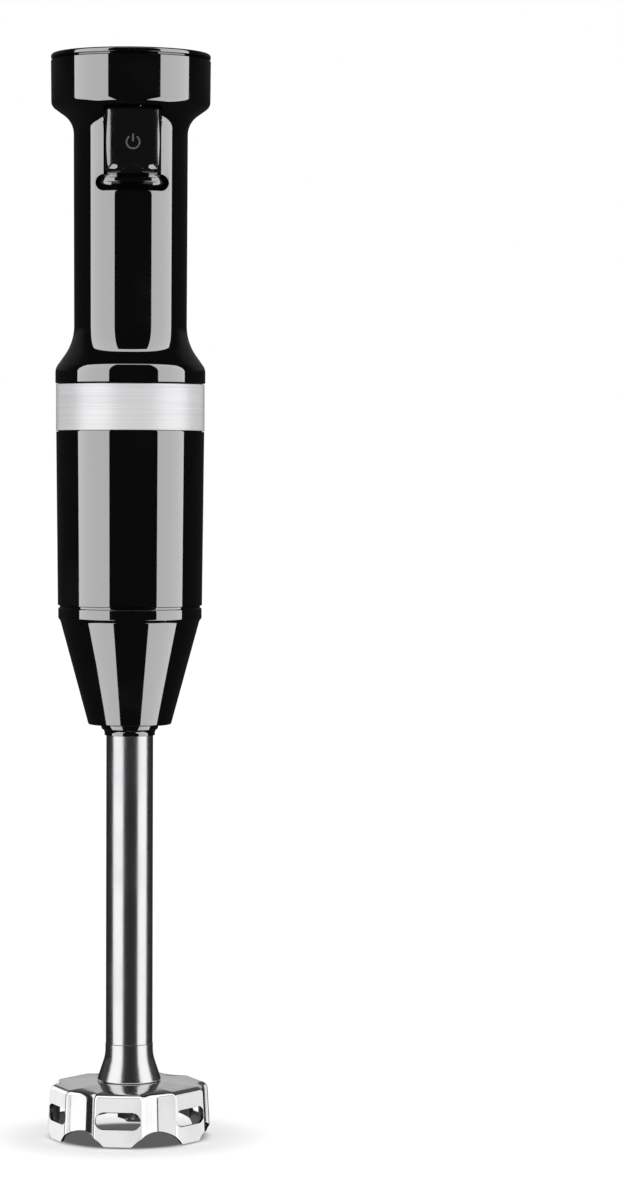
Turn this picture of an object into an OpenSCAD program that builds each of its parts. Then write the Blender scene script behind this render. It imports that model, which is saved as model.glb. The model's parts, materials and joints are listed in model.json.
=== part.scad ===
// Immersion blender with a twist-lock arm and a six-sided bell, standing on the bell's feet.
// Millimetres. Z is the blender's long axis, and the trigger faces -Y.

/* [Bell] */
// Height of the bell from its feet to the shoulder
bell_h = 20.2; // [17:0.1:26]
// Width across opposite facets at the feet
bell_across = 60.4; // [50:0.1:74]
// How far each facet leans in from foot to shoulder
facet_lean = 1; // [0.2:0.1:2]
// Rise of the bell's top from the shoulder to the neck
crown_rise = 1.2; // [0.6:0.1:3]
// Thickness of the bell's sheet
bell_wall = 1.2; // [0.8:0.1:2]
// Width of each flat facet
facet_w = 18.5; // [14:0.1:22]
// Depth of the hollow flute between two facets
flute_depth = 2; // [1:0.1:3]
// Length of the slot in each facet
slot_w = 17.5; // [10:0.1:18]
// Height of the slot in each facet
slot_h = 6.4; // [5:0.1:8]
// Height of the slots' centre line above the feet
slot_z = 9.9; // [8:0.1:12]
// Width of the arch under each flute
arch_w = 21; // [14:0.1:24]
// Height of the arch under each flute
arch_h = 5.5; // [4:0.1:6]
// Turn of the bell's first facet from the trigger's side, in degrees
bell_turn = -10; // [-30:1:30]

/* [Blade] */
// Tip-to-tip length of the blade
blade_len = 42; // [34:0.5:46]
// Width of each blade wing
wing_w = 8.5; // [6:0.5:12]
// Thickness of the blade's steel
blade_t = 1.2; // [0.8:0.1:2]
// Bend of each wing out of level, in degrees
wing_bend = 13; // [5:1:20]
// Height of the blade above the feet
blade_z = 10.6; // [9:0.1:12]
// Diameter of the blade shaft
shaft_d = 5; // [4:0.1:6]

/* [Arm] */
// Diameter of the neck where it meets the bell
neck_d = 24.5; // [21:0.1:30]
// Height of the flared neck
neck_h = 14.4; // [11:0.1:20]
// Outside diameter of the tube
tube_d = 18; // [15:0.1:21]
// Wall of the tube
tube_wall = 1; // [0.8:0.1:1.5]
// Length of tube between the neck and the tip collar
tube_len = 118.9; // [90:0.1:160]
// Diameter of the tip collar at the cone
tip_d = 22.1; // [21:0.1:26]
// Height of the tip collar
tip_h = 4.2; // [3:0.1:7]
// Diameter of the cone's lower end
cone_low_d = 31.8; // [28:0.1:38]
// Diameter of the cone's upper end
cone_top_d = 53.4; // [51:0.1:60]
// Height of the cone
cone_h = 39.8; // [33:0.1:50]
// Diameter of the nose ring above the cone
nose_d = 55.1; // [54:0.1:66]
// Height of the nose ring
nose_h = 5; // [4:0.1:8]
// Width of the groove between arm and motor unit
joint_gap = 1.1; // [0.6:0.1:2]
// Depth of that groove, below the nose ring
groove_depth = 0.6; // [0.3:0.1:1]
// Wall of the arm's moulded cone
cone_wall = 2; // [1.6:0.1:2.6]

/* [Motor unit] */
// Length of the lower body sleeve
body_len = 66.5; // [60:0.1:80]
// Diameter of the lower body at its lower end
body_low_d = 55.4; // [55:0.1:68]
// Diameter of the lower body below the band
body_top_d = 56.8; // [56:0.1:68]
// Height of the steel band
band_h = 18.5; // [15:0.1:24]
// Diameter of the steel band
band_d = 57; // [56:0.1:68]
// Thickness of the band's sheet
band_wall = 0.8; // [0.6:0.1:1]
// Height of the collar above the band
collar_h = 4.1; // [3:0.1:8]
// Diameter of the collar above the band
collar_d = 57.5; // [56:0.1:68]
// Height of the flare between collar and grip
flare_h = 17.9; // [16:0.1:24]
// Diameter of the grip's lower end
grip_low_d = 43.2; // [41:0.1:48]
// Diameter of the grip's upper end
grip_top_d = 43.7; // [41:0.1:48]
// Length of the straight grip
grip_len = 73.1; // [62:0.1:90]
// Height of the shoulder under the head
shoulder_h = 12.5; // [11:0.1:15]
// Diameter of the head
head_d = 61.2; // [57:0.1:64]
// Height of the head's side
head_h = 15.7; // [14:0.1:22]
// Gap under the top cap
cap_gap = 0.6; // [0.4:0.1:1]
// Thickness of the top cap
cap_h = 2.3; // [1.8:0.1:3]
// Wall of the grip's shells
shell_wall = 2.2; // [1.8:0.1:2.4]
// Wall of the motor body at its thinnest
body_wall = 2.3; // [1.9:0.1:2.5]

/* [Twist lock] */
// Radius of the arm's spigot
spigot_r = 21.6; // [20.5:0.1:21.8]
// Height of the spigot above the joint
spigot_h = 9.9; // [9.5:0.1:10.5]
// Angle that each bayonet lug spans
lug_angle = 24; // [16:1:28]
// Angle that each entry gap spans
entry_angle = 36; // [30:1:44]
// Angle that each clutch dog spans
dog_angle = 26; // [18:1:28]

/* [Trigger] */
// Width of the trigger
trigger_w = 20.9; // [17:0.1:23]
// Height of the trigger
trigger_h = 24.8; // [22:0.1:27]
// How far the trigger's face stands proud of the grip
trigger_proud = 5.8; // [4:0.1:6.5]
// Gap round the trigger
trigger_gap = 0.4; // [0.3:0.05:0.6]
// Radius of the round thumb dish
dish_r = 8.3; // [6:0.1:8.5]
// Depth of the thumb dish
dish_depth = 0.8; // [0.4:0.1:1.2]
// Diameter of the trigger's hinge pin
pin_d = 3; // [2.5:0.1:3.5]
// Width of the finger recess below the trigger
recess_w = 27.6; // [25:0.1:30]
// Height of the finger recess
recess_h = 6.2; // [5.5:0.1:8]
// Depth of the finger recess
recess_depth = 2.4; // [1.5:0.1:3]
// Width of the bar in the recess
bar_w = 19.1; // [14:0.1:20]
// Height of the bar in the recess
bar_h = 1.9; // [1.5:0.1:2.5]
// Diameter of the speed plunger
plunger_d = 4; // [3:0.1:5]

/* [Motor] */
// Length of the motor's steel can
can_len = 41.6; // [36:0.1:46]
// Thickness of the can's sheet
can_wall = 1.5; // [1:0.1:2]
// Diameter of the motor shaft
motor_shaft_d = 6; // [5:0.1:7]
// Radius of the armature
armature_r = 14.8; // [12:0.1:15]
// Radial gap between armature and magnets
air_gap = 0.6; // [0.4:0.1:1]
// Thickness of the magnets
magnet_t = 3.4; // [2.5:0.1:4]
// Radius of the commutator
commutator_r = 7.6; // [7:0.1:7.7]

/* [Cord inlet] */
// Radius of the cord inlet's bore
inlet_r = 3.7; // [3:0.1:4]

/* [Fits] */
// Clearance between pieces fixed together
fit = 0.05; // [0.02:0.01:0.1]
// Radial clearance of a shaft in its bush or bearing
running = 0.05; // [0.02:0.01:0.1]
// Air between pieces that pass each other
clear = 0.4; // [0.3:0.1:0.6]

/* [Hidden] */
$fn = 96;
eps = 0.01;
big = 400;
black = [0.03, 0.03, 0.032];
soft_black = [0.06, 0.06, 0.062];
steel = [0.78, 0.78, 0.79];
dark_steel = [0.42, 0.42, 0.44];
copper = [0.72, 0.4, 0.22];
brass = [0.8, 0.65, 0.3];
white_nylon = [0.86, 0.85, 0.8];

// Heights, stacked from the feet up
z_roof = bell_h + crown_rise;
z_tube = z_roof + neck_h;
z_tip = z_tube + tube_len;
z_cone = z_tip + tip_h;
z_nose = z_cone + cone_h;
z_joint = z_nose + nose_h;
z_body = z_joint + joint_gap;
z_band = z_body + body_len;
z_collar = z_band + band_h;
z_flare = z_collar + collar_h;
z_grip = z_flare + flare_h;
z_shoulder = z_grip + grip_len;
z_head = z_shoulder + shoulder_h;
z_gap = z_head + head_h;
z_cap = z_gap + cap_gap;
z_top = z_cap + cap_h;

// Radii
tube_r = tube_d / 2;
shaft_r = shaft_d / 2;
motor_shaft_r = motor_shaft_d / 2;
head_r = head_d / 2;
head_draft = 0.15;
head_low_r = head_r - head_draft;
grip_low_r = grip_low_d / 2;
grip_top_r = grip_top_d / 2;
collar_r = collar_d / 2;
nose_r = nose_d / 2;
flare_edge_r = 5;
flare_hollow_r = 19.4;
shoulder_edge_r = 3.4;
shoulder_hollow_r = 8.9;
bush_r = shaft_r + 2;

// Motor body's inside, which the motor, the socket and the shells' skirt all follow
body_bore_r = min(body_low_d, body_top_d) / 2 - body_wall;
socket_wall = 1.2;
socket_r = body_bore_r - socket_wall;
socket_h = 11.2;
bulkhead_t = 3;
z_socket = z_body + socket_h;
z_floor = z_socket + bulkhead_t;
band_seat_r = band_d / 2 - band_wall - 0.1;
skirt_r = body_bore_r - clear / 2;
skirt_wall = 2.2;
seat_top = z_collar - 0.8;

// Bayonet and clutch
lug_t = 2.3;
ledge_r = spigot_r + 0.6;
ring_seat_r = ledge_r + 1.1;
lug_r = ring_seat_r - 0.2;
z_ledge = z_body + 0.8;
ledge_t = 2.4;
z_lug = z_ledge + ledge_t + 0.6;
dog_r = 7.3;
dog_core_r = 3.6;
dog_h = 3.4;
dog_play = 0.4;
z_dogs = z_body + 4.4;

// Motor stack, upwards from the bulkhead
bracket_h = 9;
bracket_t = 2.4;
z_can = z_floor + bracket_h + bracket_t;
z_end = z_can + can_len;
end_bell_h = 14.5;
can_r = skirt_r - skirt_wall - 2.4;
bearing_h = 5;
bearing_r = 8;

// Trigger window, pin and recess, down from the head
z_window = z_head - shoulder_edge_r;
z_trigger = z_window - 0.6;
z_lip = z_trigger - trigger_h;
z_bar = z_lip - 1.2;
z_recess = z_bar - 2;
face_r = grip_top_r + trigger_proud;
pin_y = -16.5;
window_back = -10;
z_pin = z_trigger - 2.4;
z_plunger = z_pin - 16;

// Points along an arc, from angle a0 to a1
function arc(cx, cy, r, a0, a1, n) =
    [for (i = [0:n]) [cx + r * cos(a0 + (a1 - a0) * i / n), cy + r * sin(a0 + (a1 - a0) * i / n)]];

// Slope of the line that joins the two arcs of an S-curve with radii that add up to s
function s_slope(dr, dz, s) =
    let (l = sqrt((dr - s) * (dr - s) + dz * dz - s * s)) 90 - atan2(dz, dr - s) + atan2(s, l);
flare_slope = s_slope(collar_r - grip_low_r, flare_h, flare_edge_r + flare_hollow_r);
shoulder_slope = s_slope(head_low_r - grip_top_r, shoulder_h, shoulder_edge_r + shoulder_hollow_r);

// Outline of collar, flare, grip, shoulder and head, set in by t
function grip_outline(t) = concat(
    [[0, z_collar], [collar_r - t, z_collar]],
    arc(collar_r - flare_edge_r, z_flare, flare_edge_r - t, 0, flare_slope, 6),
    arc(grip_low_r + flare_hollow_r, z_grip, flare_hollow_r + t, 180 + flare_slope, 180, 8),
    arc(grip_top_r + shoulder_hollow_r, z_shoulder, shoulder_hollow_r + t, 180, 180 - shoulder_slope, 7),
    arc(head_low_r - shoulder_edge_r, z_head, shoulder_edge_r - t, -shoulder_slope, 0, 5),
    [[head_r - t, z_gap], [0, z_gap]]);

module revolve(points) {
    rotate_extrude() polygon(points);
}

module ring(r_out, r_in, z, h) {
    translate([0, 0, z]) difference() {
        cylinder(r = r_out, h = h);
        translate([0, 0, -1]) cylinder(r = r_in, h = h + 2);
    }
}

// A box from one corner to the opposite one
module block(from, to) {
    translate(from) cube(to - from);
}

// A round bar along -Y or +Y, from y0 to y1
module bar_y(x, z, r, y0, y1) {
    translate([x, y0, z]) rotate([-90, 0, 0]) cylinder(r = r, h = y1 - y0);
}

module bar_x(y, z, r, half) {
    translate([0, y, z]) rotate([0, 90, 0]) cylinder(r = r, h = 2 * half, center = true);
}

// A wedge of the given angle about +X, for cutting ring segments
module wedge(angle, r, z, h) {
    translate([0, 0, z]) linear_extrude(h)
        polygon([[0, 0], [r, -r * tan(angle / 2)], [r, r * tan(angle / 2)]]);
}

module segment(r_out, r_in, angle, z, h) {
    intersection() {
        ring(r_out, r_in, z, h);
        wedge(angle, 2 * r_out, z - 1, h + 2);
    }
}

module thrice(turn = 0) {
    for (k = [0:2]) rotate([0, 0, 120 * k + turn]) children();
}

// A straight round wire between two points
module wire(p, q, r) {
    d = q - p;
    translate(p) rotate([0, acos(d[2] / norm(d)), atan2(d[1], d[0])]) cylinder(r = r, h = norm(d));
}

// ---- shells of head, grip and collar ----
module grip_solid(t) {
    revolve(grip_outline(t));
}

module shell_blank() {
    difference() {
        union() {
            difference() {
                grip_solid(0);
                grip_solid(shell_wall);
                ring(head_r - shell_wall, 0, z_gap - 1, 2);
            }
            // Floor and skirt, which plug into the motor body
            ring(collar_r - shell_wall / 2, skirt_r - skirt_wall, z_collar, 2);
            ring(skirt_r, skirt_r - skirt_wall, z_band + 1, band_h);
            skirt_bosses();
        }
        screw_holes(1.1);
    }
}

// Four bosses behind the skirt for the band screws
screw_z = z_band + band_h / 2;
screw_turn = 45;
screw_head_r = 2.5;
head_seat_r = band_seat_r - 1.3;
boss_end_r = can_r + 1.4;
module each_screw() {
    for (k = [0:3]) rotate([0, 0, screw_turn + 90 * k]) translate([0, 0, screw_z]) rotate([0, 90, 0]) children();
}
module skirt_bosses() {
    intersection() {
        each_screw() cylinder(r = 3, h = skirt_r - 0.5);
        ring(skirt_r - 0.5, can_r + 1, z_band + 1, band_h);
    }
}
module screw_holes(r) {
    each_screw() cylinder(r = r, h = collar_r - 2);
}

module half(front) {
    y0 = front ? -big : 0;
    translate([-big / 2, y0, 0]) cube([big, big, 2 * big]);
}

// Finger recess: a stadium prism outside the recess floor
module stadium(w, h) {
    square([w - h, h], center = true);
    for (s = [-1, 1]) translate([s * (w - h) / 2, 0]) circle(d = h);
}
module recess_prism() {
    difference() {
        translate([0, 0, z_recess]) rotate([90, 0, 0]) linear_extrude(big / 4) stadium(recess_w, recess_h);
        cylinder(r = grip_top_r - recess_depth, h = 2 * big);
    }
}
module recess_bar() {
    intersection() {
        grip_solid(0.05);
        difference() {
            block([-bar_w / 2, -big / 4, z_bar - bar_h], [bar_w / 2, 0, z_bar]);
            cylinder(r = grip_top_r - recess_depth - 0.5, h = 2 * big);
        }
    }
}
module recess_backing() {
    wall = 1.4;
    side = 1.6;
    below = 5.2;
    above = 4;
    intersection() {
        ring(grip_top_r - shell_wall + 0.2, grip_top_r - recess_depth - wall, z_recess - below, below + above);
        block([-recess_w / 2 - side, -big / 4, z_recess - below], [recess_w / 2 + side, -6, z_recess + above]);
    }
}

module pin_bosses() {
    intersection() {
        grip_solid(0.8);
        for (s = [-1, 1]) translate([s * (trigger_w / 2 + trigger_gap), pin_y, z_pin])
            rotate([0, s * 90, 0]) cylinder(r = pin_d / 2 + 1.6, h = 9);
    }
}

module front_shell() {
    color(black) difference() {
        union() {
            difference() {
                intersection() {
                    union() {
                        shell_blank();
                        recess_backing();
                    }
                    half(true);
                }
                recess_prism();
            }
            recess_bar();
            pin_bosses();
        }
        // Trigger window
        block([-trigger_w / 2 - trigger_gap, -face_r - 1, z_bar], [trigger_w / 2 + trigger_gap, window_back, z_window]);
        bar_x(pin_y, z_pin, pin_d / 2 + fit, trigger_w / 2 + 4.5);
    }
}

// Cord inlet, high on the back of the head
z_inlet = z_head + 6.8;
grommet_r = inlet_r + 1.9;
flange_r = grommet_r + 1.6;
flange_y = head_r - 1.3;
clamp_x = grommet_r + 2.2;
clamp_y = head_r - 10.6;
clamp_t = 3;
clamp_half_h = 4.5;
clamp_boss_r = 2.4;
board_y = 4;
board_t = 1.6;
board_z0 = z_grip + 8;
board_z1 = z_plunger - 12;
board_w = 26;
post_zs = [board_z0 + 5, board_z1 - 5];

module rear_shell() {
    color(black) difference() {
        union() {
            intersection() {
                shell_blank();
                half(false);
            }
            intersection() {
                grip_solid(1);
                union() {
                    for (z = post_zs) bar_y(0, z, 3, board_y + board_t, grip_top_r);
                    for (s = [-1, 1]) bar_y(s * clamp_x, z_inlet, clamp_boss_r, clamp_y + clamp_t, head_r);
                }
            }
        }
        bar_y(0, z_inlet, grommet_r + fit, 10, head_r + 2);
        bar_y(0, z_inlet, flange_r + fit, flange_y, head_r + 2);
        for (z = post_zs) bar_y(0, z, 1.1, board_y, grip_low_r - 3);
        for (s = [-1, 1]) bar_y(s * clamp_x, z_inlet, 1, clamp_y, head_r - 5);
    }
}

module top_cap() {
    edge = 1.5;
    crown = 0.5;
    color(black) revolve(concat(
        [[0, z_gap - 2.5], [head_r - shell_wall - 0.15, z_gap - 2.5], [head_r - shell_wall - 0.15, z_cap],
         [head_r - 0.05, z_cap]],
        arc(head_r - 0.05 - edge, z_top - crown - edge, edge, 0, 80, 6),
        [[head_r / 2, z_top - crown / 3], [0, z_top]]));
}

module cord_grommet() {
    color(soft_black) difference() {
        union() {
            bar_y(0, z_inlet, grommet_r, head_r - 7, flange_y + 1);
            bar_y(0, z_inlet, flange_r, flange_y, head_r + 0.5);
        }
        bar_y(0, z_inlet, inlet_r, 0, big / 4);
    }
}

module cord_clamp() {
    color(soft_black) difference() {
        block([-clamp_x - clamp_t, clamp_y, z_inlet - clamp_half_h],
            [clamp_x + clamp_t, clamp_y + clamp_t, z_inlet + clamp_half_h]);
        bar_y(0, z_inlet, inlet_r + 0.2, 0, big / 4);
        for (s = [-1, 1]) bar_y(s * clamp_x, z_inlet, 1.5, 0, big / 4);
    }
}

module clamp_screws() {
    color(steel) for (s = [-1, 1]) {
        bar_y(s * clamp_x, z_inlet, clamp_boss_r, clamp_y - 1.6, clamp_y);
        bar_y(s * clamp_x, z_inlet, 0.95, clamp_y - eps, clamp_y + clamp_t + 2);
    }
}

// ---- trigger group ----
module trigger_outline(r, z0, z1) {
    revolve([[0, z0], [r - 3.2, z0], [r, z0 + 1.9], [r, z1], [0, z1]]);
}

module trigger() {
    wall = 1.8;
    half_w = trigger_w / 2;
    back = -11.8;
    foot_y = -12.6;
    foot_r = 2.4;
    ear_front = -14;
    ear_out = 2;
    ear_z = z_lip + 2;
    ear_h = 2.8;
    color(soft_black) difference() {
        union() {
            difference() {
                intersection() {
                    trigger_outline(face_r, z_lip, z_trigger);
                    block([-half_w, -big / 4, 0], [half_w, back, big * 2]);
                }
                intersection() {
                    trigger_outline(face_r - wall - dish_depth, z_lip + wall, z_trigger - wall);
                    block([-half_w + wall, -big / 4, 0], [half_w - wall, 0, big * 2]);
                }
            }
            // Cheeks round the pin, stop ears and the foot that pushes the plunger
            for (s = [-1, 1]) translate([s * (half_w - wall / 2), pin_y, z_pin]) rotate([0, 90, 0])
                cylinder(r = pin_d / 2 + 0.9, h = wall, center = true);
            for (s = [-1, 1]) block([s > 0 ? half_w - wall : -half_w - ear_out, ear_front, ear_z],
                [s > 0 ? half_w + ear_out : wall - half_w, back, ear_z + ear_h]);
            bar_y(0, z_plunger, foot_r, -face_r + wall, foot_y);
            translate([0, foot_y, z_plunger]) sphere(r = foot_r);
        }
        bar_x(pin_y, z_pin, pin_d / 2 + running, trigger_w);
        // Room for the spring
        block([-half_w + wall, pin_y - 3.6, z_pin - 4], [half_w - wall, 0, z_trigger + 1]);
        // Thumb dish, part of a large ball
        dish_ball = (dish_r * dish_r + dish_depth * dish_depth) / (2 * dish_depth);
        translate([0, -face_r - dish_ball + dish_depth + 0.35, z_lip + trigger_h / 2 - 0.9])
            sphere(r = dish_ball, $fn = 200);
    }
}

module trigger_pin() {
    color(steel) bar_x(pin_y, z_pin, pin_d / 2, trigger_w / 2 + 4.2);
}

module trigger_spring() {
    wire_r = 0.45;
    coil_r = pin_d / 2 + 0.5 + wire_r;
    coil_x = -2.4;
    leg = 9;
    color(steel) {
        for (k = [0:5]) translate([coil_x + k * 1.9 * wire_r, pin_y, z_pin]) rotate([0, 90, 0])
            rotate_extrude() translate([coil_r, 0]) circle(r = wire_r, $fn = 24);
        translate([coil_x, pin_y, z_pin - coil_r]) rotate([-60, 0, 0]) translate([0, 0, -leg])
            cylinder(r = wire_r, h = leg, $fn = 24);
    }
}

plunger_tip = -9.9;
switch_y0 = -6;
switch_half = 9;
module speed_plunger() {
    r = plunger_d / 2;
    color(white_nylon) {
        bar_y(0, z_plunger, r, plunger_tip + r, -0.8);
        translate([0, plunger_tip + r, z_plunger]) sphere(r = r);
    }
}

module speed_switch() {
    color(white_nylon) difference() {
        block([-switch_half, switch_y0, z_plunger - 8], [switch_half, board_y - 1, z_plunger + 9]);
        bar_y(0, z_plunger, plunger_d / 2 + running, switch_y0 - 1, 2.2);
    }
}

module control_board() {
    color([0.1, 0.32, 0.16]) difference() {
        block([-board_w / 2, board_y, board_z0], [board_w / 2, board_y + board_t, z_plunger + 6]);
        for (z = post_zs) bar_y(0, z, 1.4, 0, 10);
    }
}

module capacitor() {
    r = 5.3;
    color([0.1, 0.12, 0.2]) translate([-6, board_y - r - 0.3, board_z0 + 9]) cylinder(r = r, h = 17);
}

module choke() {
    core_r = 4.2;
    wound_r = 2.4;
    color(copper) translate([5.6, board_y - wound_r - 1, board_z0 + 17]) rotate([90, 0, 0])
        rotate_extrude() translate([core_r, 0]) circle(r = wound_r, $fn = 32);
}

module heatsink() {
    x0 = -10;
    back = board_y + board_t;
    z0 = board_z0 + 10;
    z1 = board_z0 + 28;
    plate_t = 1.6;
    fin_t = 1.2;
    pitch = 2.4;
    color(steel) {
        block([x0, back, z0], [-4, back + plate_t, z1]);
        for (k = [0:2]) block([x0 + k * pitch, back + plate_t - 0.1, z0],
            [x0 + k * pitch + fin_t, back + 6, z1]);
    }
}

module board_screws() {
    color(steel) for (z = post_zs) {
        bar_y(0, z, 2.3, board_y - 1.5, board_y);
        bar_y(0, z, 1.05, board_y - eps, board_y + 9);
    }
}

// ---- motor body and its socket ----
seal_seat_r = motor_shaft_r + 3.2;
module trim_band() {
    color(steel) ring(band_d / 2, band_d / 2 - band_wall, z_band + 0.3, band_h - 0.6);
}

module motor_body() {
    color(black) difference() {
        union() {
            revolve([[0, z_body], [body_low_d / 2, z_body], [body_top_d / 2, z_band], [0, z_band]]);
            ring(band_seat_r, 0, z_band - 1, seat_top - z_band + 1);
        }
        ring(body_bore_r, 0, z_floor, big);
        ring(socket_r, 0, z_body - 1, socket_h + 1);
        ring(seal_seat_r, 0, z_socket + 0.8, bulkhead_t);
        ring(motor_shaft_r + 0.6, 0, z_socket - 1, bulkhead_t + 2);
        screw_holes(1.5);
        each_screw() translate([0, 0, head_seat_r]) cylinder(r = screw_head_r + 0.2, h = 4);
    }
}

module band_screws() {
    color(steel) each_screw() {
        translate([0, 0, boss_end_r]) cylinder(r = 1.05, h = head_seat_r - boss_end_r + eps);
        translate([0, 0, head_seat_r]) cylinder(r = screw_head_r, h = 1.1);
    }
}

module bayonet_ring() {
    color(steel) {
        ring(socket_r - fit, ring_seat_r, z_ledge - 0.6, ledge_t + 0.6);
        thrice(60) segment(ring_seat_r + 0.4, ledge_r, 120 - entry_angle, z_ledge, ledge_t);
    }
}

module lock_ring() {
    r_in = spigot_r + clear;
    z_prong = z_lug + 0.1;
    z_crown = z_lug + lug_t + 0.3;
    z_ring_top = z_socket - clear;
    prong = 6;
    pocket = lug_angle + 3;
    color(white_nylon) difference() {
        revolve([[r_in, z_prong], [socket_r - clear, z_prong], [socket_r - clear, z_crown],
            [socket_r - running, z_crown], [socket_r - running, z_ring_top], [r_in, z_ring_top]]);
        // Pockets for the arm's lugs, and the gaps between the pairs of prongs
        thrice() wedge(pocket, socket_r, z_prong - 1, z_crown - z_prong + 1);
        thrice(60) wedge(120 - pocket - 2 * prong, 2 * socket_r, z_prong - 1, z_crown - z_prong + 1);
    }
}

module lip_seal() {
    color(soft_black) ring(seal_seat_r - fit, motor_shaft_r + running, z_socket + 0.8, bulkhead_t - 0.9);
}

// ---- motor ----
module motor_bracket() {
    color(white_nylon) {
        ring(can_r + 1.4, bearing_r + 1, z_floor + bracket_h, bracket_t);
        thrice(30) translate([can_r - 1, 0, z_floor]) cylinder(r = 2.2, h = bracket_h + eps);
    }
}

module motor_can() {
    color(dark_steel) difference() {
        ring(can_r, 0, z_can, can_len);
        ring(can_r - can_wall, 0, z_can + 7, can_len);
        ring(can_r - can_wall, bearing_r + 1.6, z_can + can_wall, 6);
        ring(bearing_r + fit, 0, z_can + 1.2, 8);
        ring(motor_shaft_r + 1.5, 0, z_can - 1, 4);
    }
}

module magnets() {
    r_in = armature_r + air_gap;
    color([0.2, 0.2, 0.21]) for (a = [0, 180]) rotate([0, 0, a])
        segment(min(r_in + magnet_t, can_r - can_wall - fit), r_in, 150, z_can + 9.5, can_len - 15);
}

module end_bell() {
    r = can_r - 1;
    color(soft_black) difference() {
        union() {
            ring(r, r - 1.6, z_end, end_bell_h);
            ring(r, 0, z_end + end_bell_h - 2, 2);
            ring(bearing_r + 1, 0, z_end + end_bell_h - 6, 6);
        }
        ring(bearing_r - 1 + fit, 0, z_end + end_bell_h - 7, bearing_h + 1);
        ring(motor_shaft_r + 0.8, 0, z_end, big);
    }
}

brush_half = 2;
brush_h = 4.6;
brush_z = z_end + 1.5;
module brush_holders() {
    color(brass) for (a = [0, 180]) rotate([0, 0, a]) difference() {
        block([9, -brush_half - 0.9, brush_z - 0.9], [can_r - 3, brush_half + 0.9, brush_z + brush_h + 0.9]);
        block([8, -brush_half - 0.1, brush_z - 0.1], [can_r - 4, brush_half + 0.1, brush_z + brush_h + 0.1]);
    }
}

module carbon_brushes() {
    color([0.12, 0.12, 0.12]) for (a = [0, 180]) rotate([0, 0, a])
        block([commutator_r + 0.2, -brush_half, brush_z], [commutator_r + 7, brush_half, brush_z + brush_h]);
}

module ball_bearing(z, r) {
    color(steel) ring(r, motor_shaft_r + running / 2, z, bearing_h);
}
module lower_bearing() {
    ball_bearing(z_can + 1.3, bearing_r);
}
module upper_bearing() {
    ball_bearing(z_end + end_bell_h - 6.5, bearing_r - 1);
}

module motor_mounts() {
    mount_h = 4;
    color(soft_black) for (z = [z_can + 4, z_band - 2 * mount_h])
        ring(body_bore_r - fit, can_r + fit, z, mount_h);
}

module motor_leads() {
    color([0.7, 0.1, 0.08]) for (s = [-1, 1]) {
        a = [s * 11, 0, z_end + end_bell_h];
        b = [s * 11, 0, z_grip - 4];
        c = [s * 9, board_y - 1, board_z0 + 3];
        wire(a, b, 0.9);
        translate(b) sphere(r = 0.9, $fn = 32);
        wire(b, c, 0.9);
    }
}

module motor_shaft() {
    z0 = z_dogs + dog_h + dog_play;
    z1 = z_end + end_bell_h - 2.2;
    color(steel) ring(motor_shaft_r, 0, z0, z1 - z0);
}

core_z0 = z_can + 11;
core_len = can_len - 18;
core_slot_r = 9.4;
winding_end = 3.2;
module armature_core() {
    color(dark_steel) difference() {
        ring(armature_r, motor_shaft_r + fit, core_z0, core_len);
        for (k = [0:11]) rotate([0, 0, 30 * k]) block([core_slot_r, -1.3, 0], [armature_r + 1, 1.3, 2 * big]);
    }
}

module armature_winding() {
    color(copper) {
        ring(armature_r - 1.2, motor_shaft_r + 1.4, core_z0 - winding_end, winding_end);
        ring(armature_r - 1.2, motor_shaft_r + 1.4, core_z0 + core_len, winding_end);
        for (k = [0:11]) rotate([0, 0, 30 * k])
            block([core_slot_r + 0.2, -1.2, core_z0 - 1], [armature_r - 1.4, 1.2, core_z0 + core_len + 1]);
    }
}

module commutator() {
    color(copper) difference() {
        ring(commutator_r, motor_shaft_r + fit, z_end + 0.2, 7);
        for (k = [0:11]) rotate([0, 0, 30 * k + 15])
            block([commutator_r - 0.8, -0.2, 0], [commutator_r + 1, 0.2, 2 * big]);
    }
}

module cooling_fan() {
    r = can_r - 5;
    z = z_floor + 1.4;
    fan_h = 6;
    disc_t = 1.2;
    color(white_nylon) {
        ring(motor_shaft_r + 2.2, motor_shaft_r + fit, z, fan_h);
        ring(r, motor_shaft_r + 2, z + fan_h - disc_t, disc_t);
        for (k = [0:8]) rotate([0, 0, 40 * k])
            block([motor_shaft_r + 2, -0.5, z], [r - 0.3, 0.5, z + fan_h - disc_t + 0.2]);
    }
}

// Three dogs on a flange, each facing +Z or -Z from the flange's face at z
module dog_flange(z, flange, up, bore_r) {
    dir = up ? 1 : -1;
    difference() {
        revolve([[bore_r, z - dir * flange], [dog_r, z - dir * flange], [dog_r, z + dir * dog_h],
            [dog_core_r, z + dir * dog_h], [dog_core_r, z], [bore_r, z]]);
        thrice(60) wedge(120 - dog_angle, 2 * dog_r, up ? z : z - dog_h - 1, dog_h + 1);
    }
}
module drive_dog() {
    color(steel) rotate([0, 0, 60]) dog_flange(z_dogs + dog_h + dog_play, 2.4, false, motor_shaft_r + fit);
}
module driven_dog() {
    color(brass) dog_flange(z_dogs, 4, true, shaft_r + fit);
}

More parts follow.
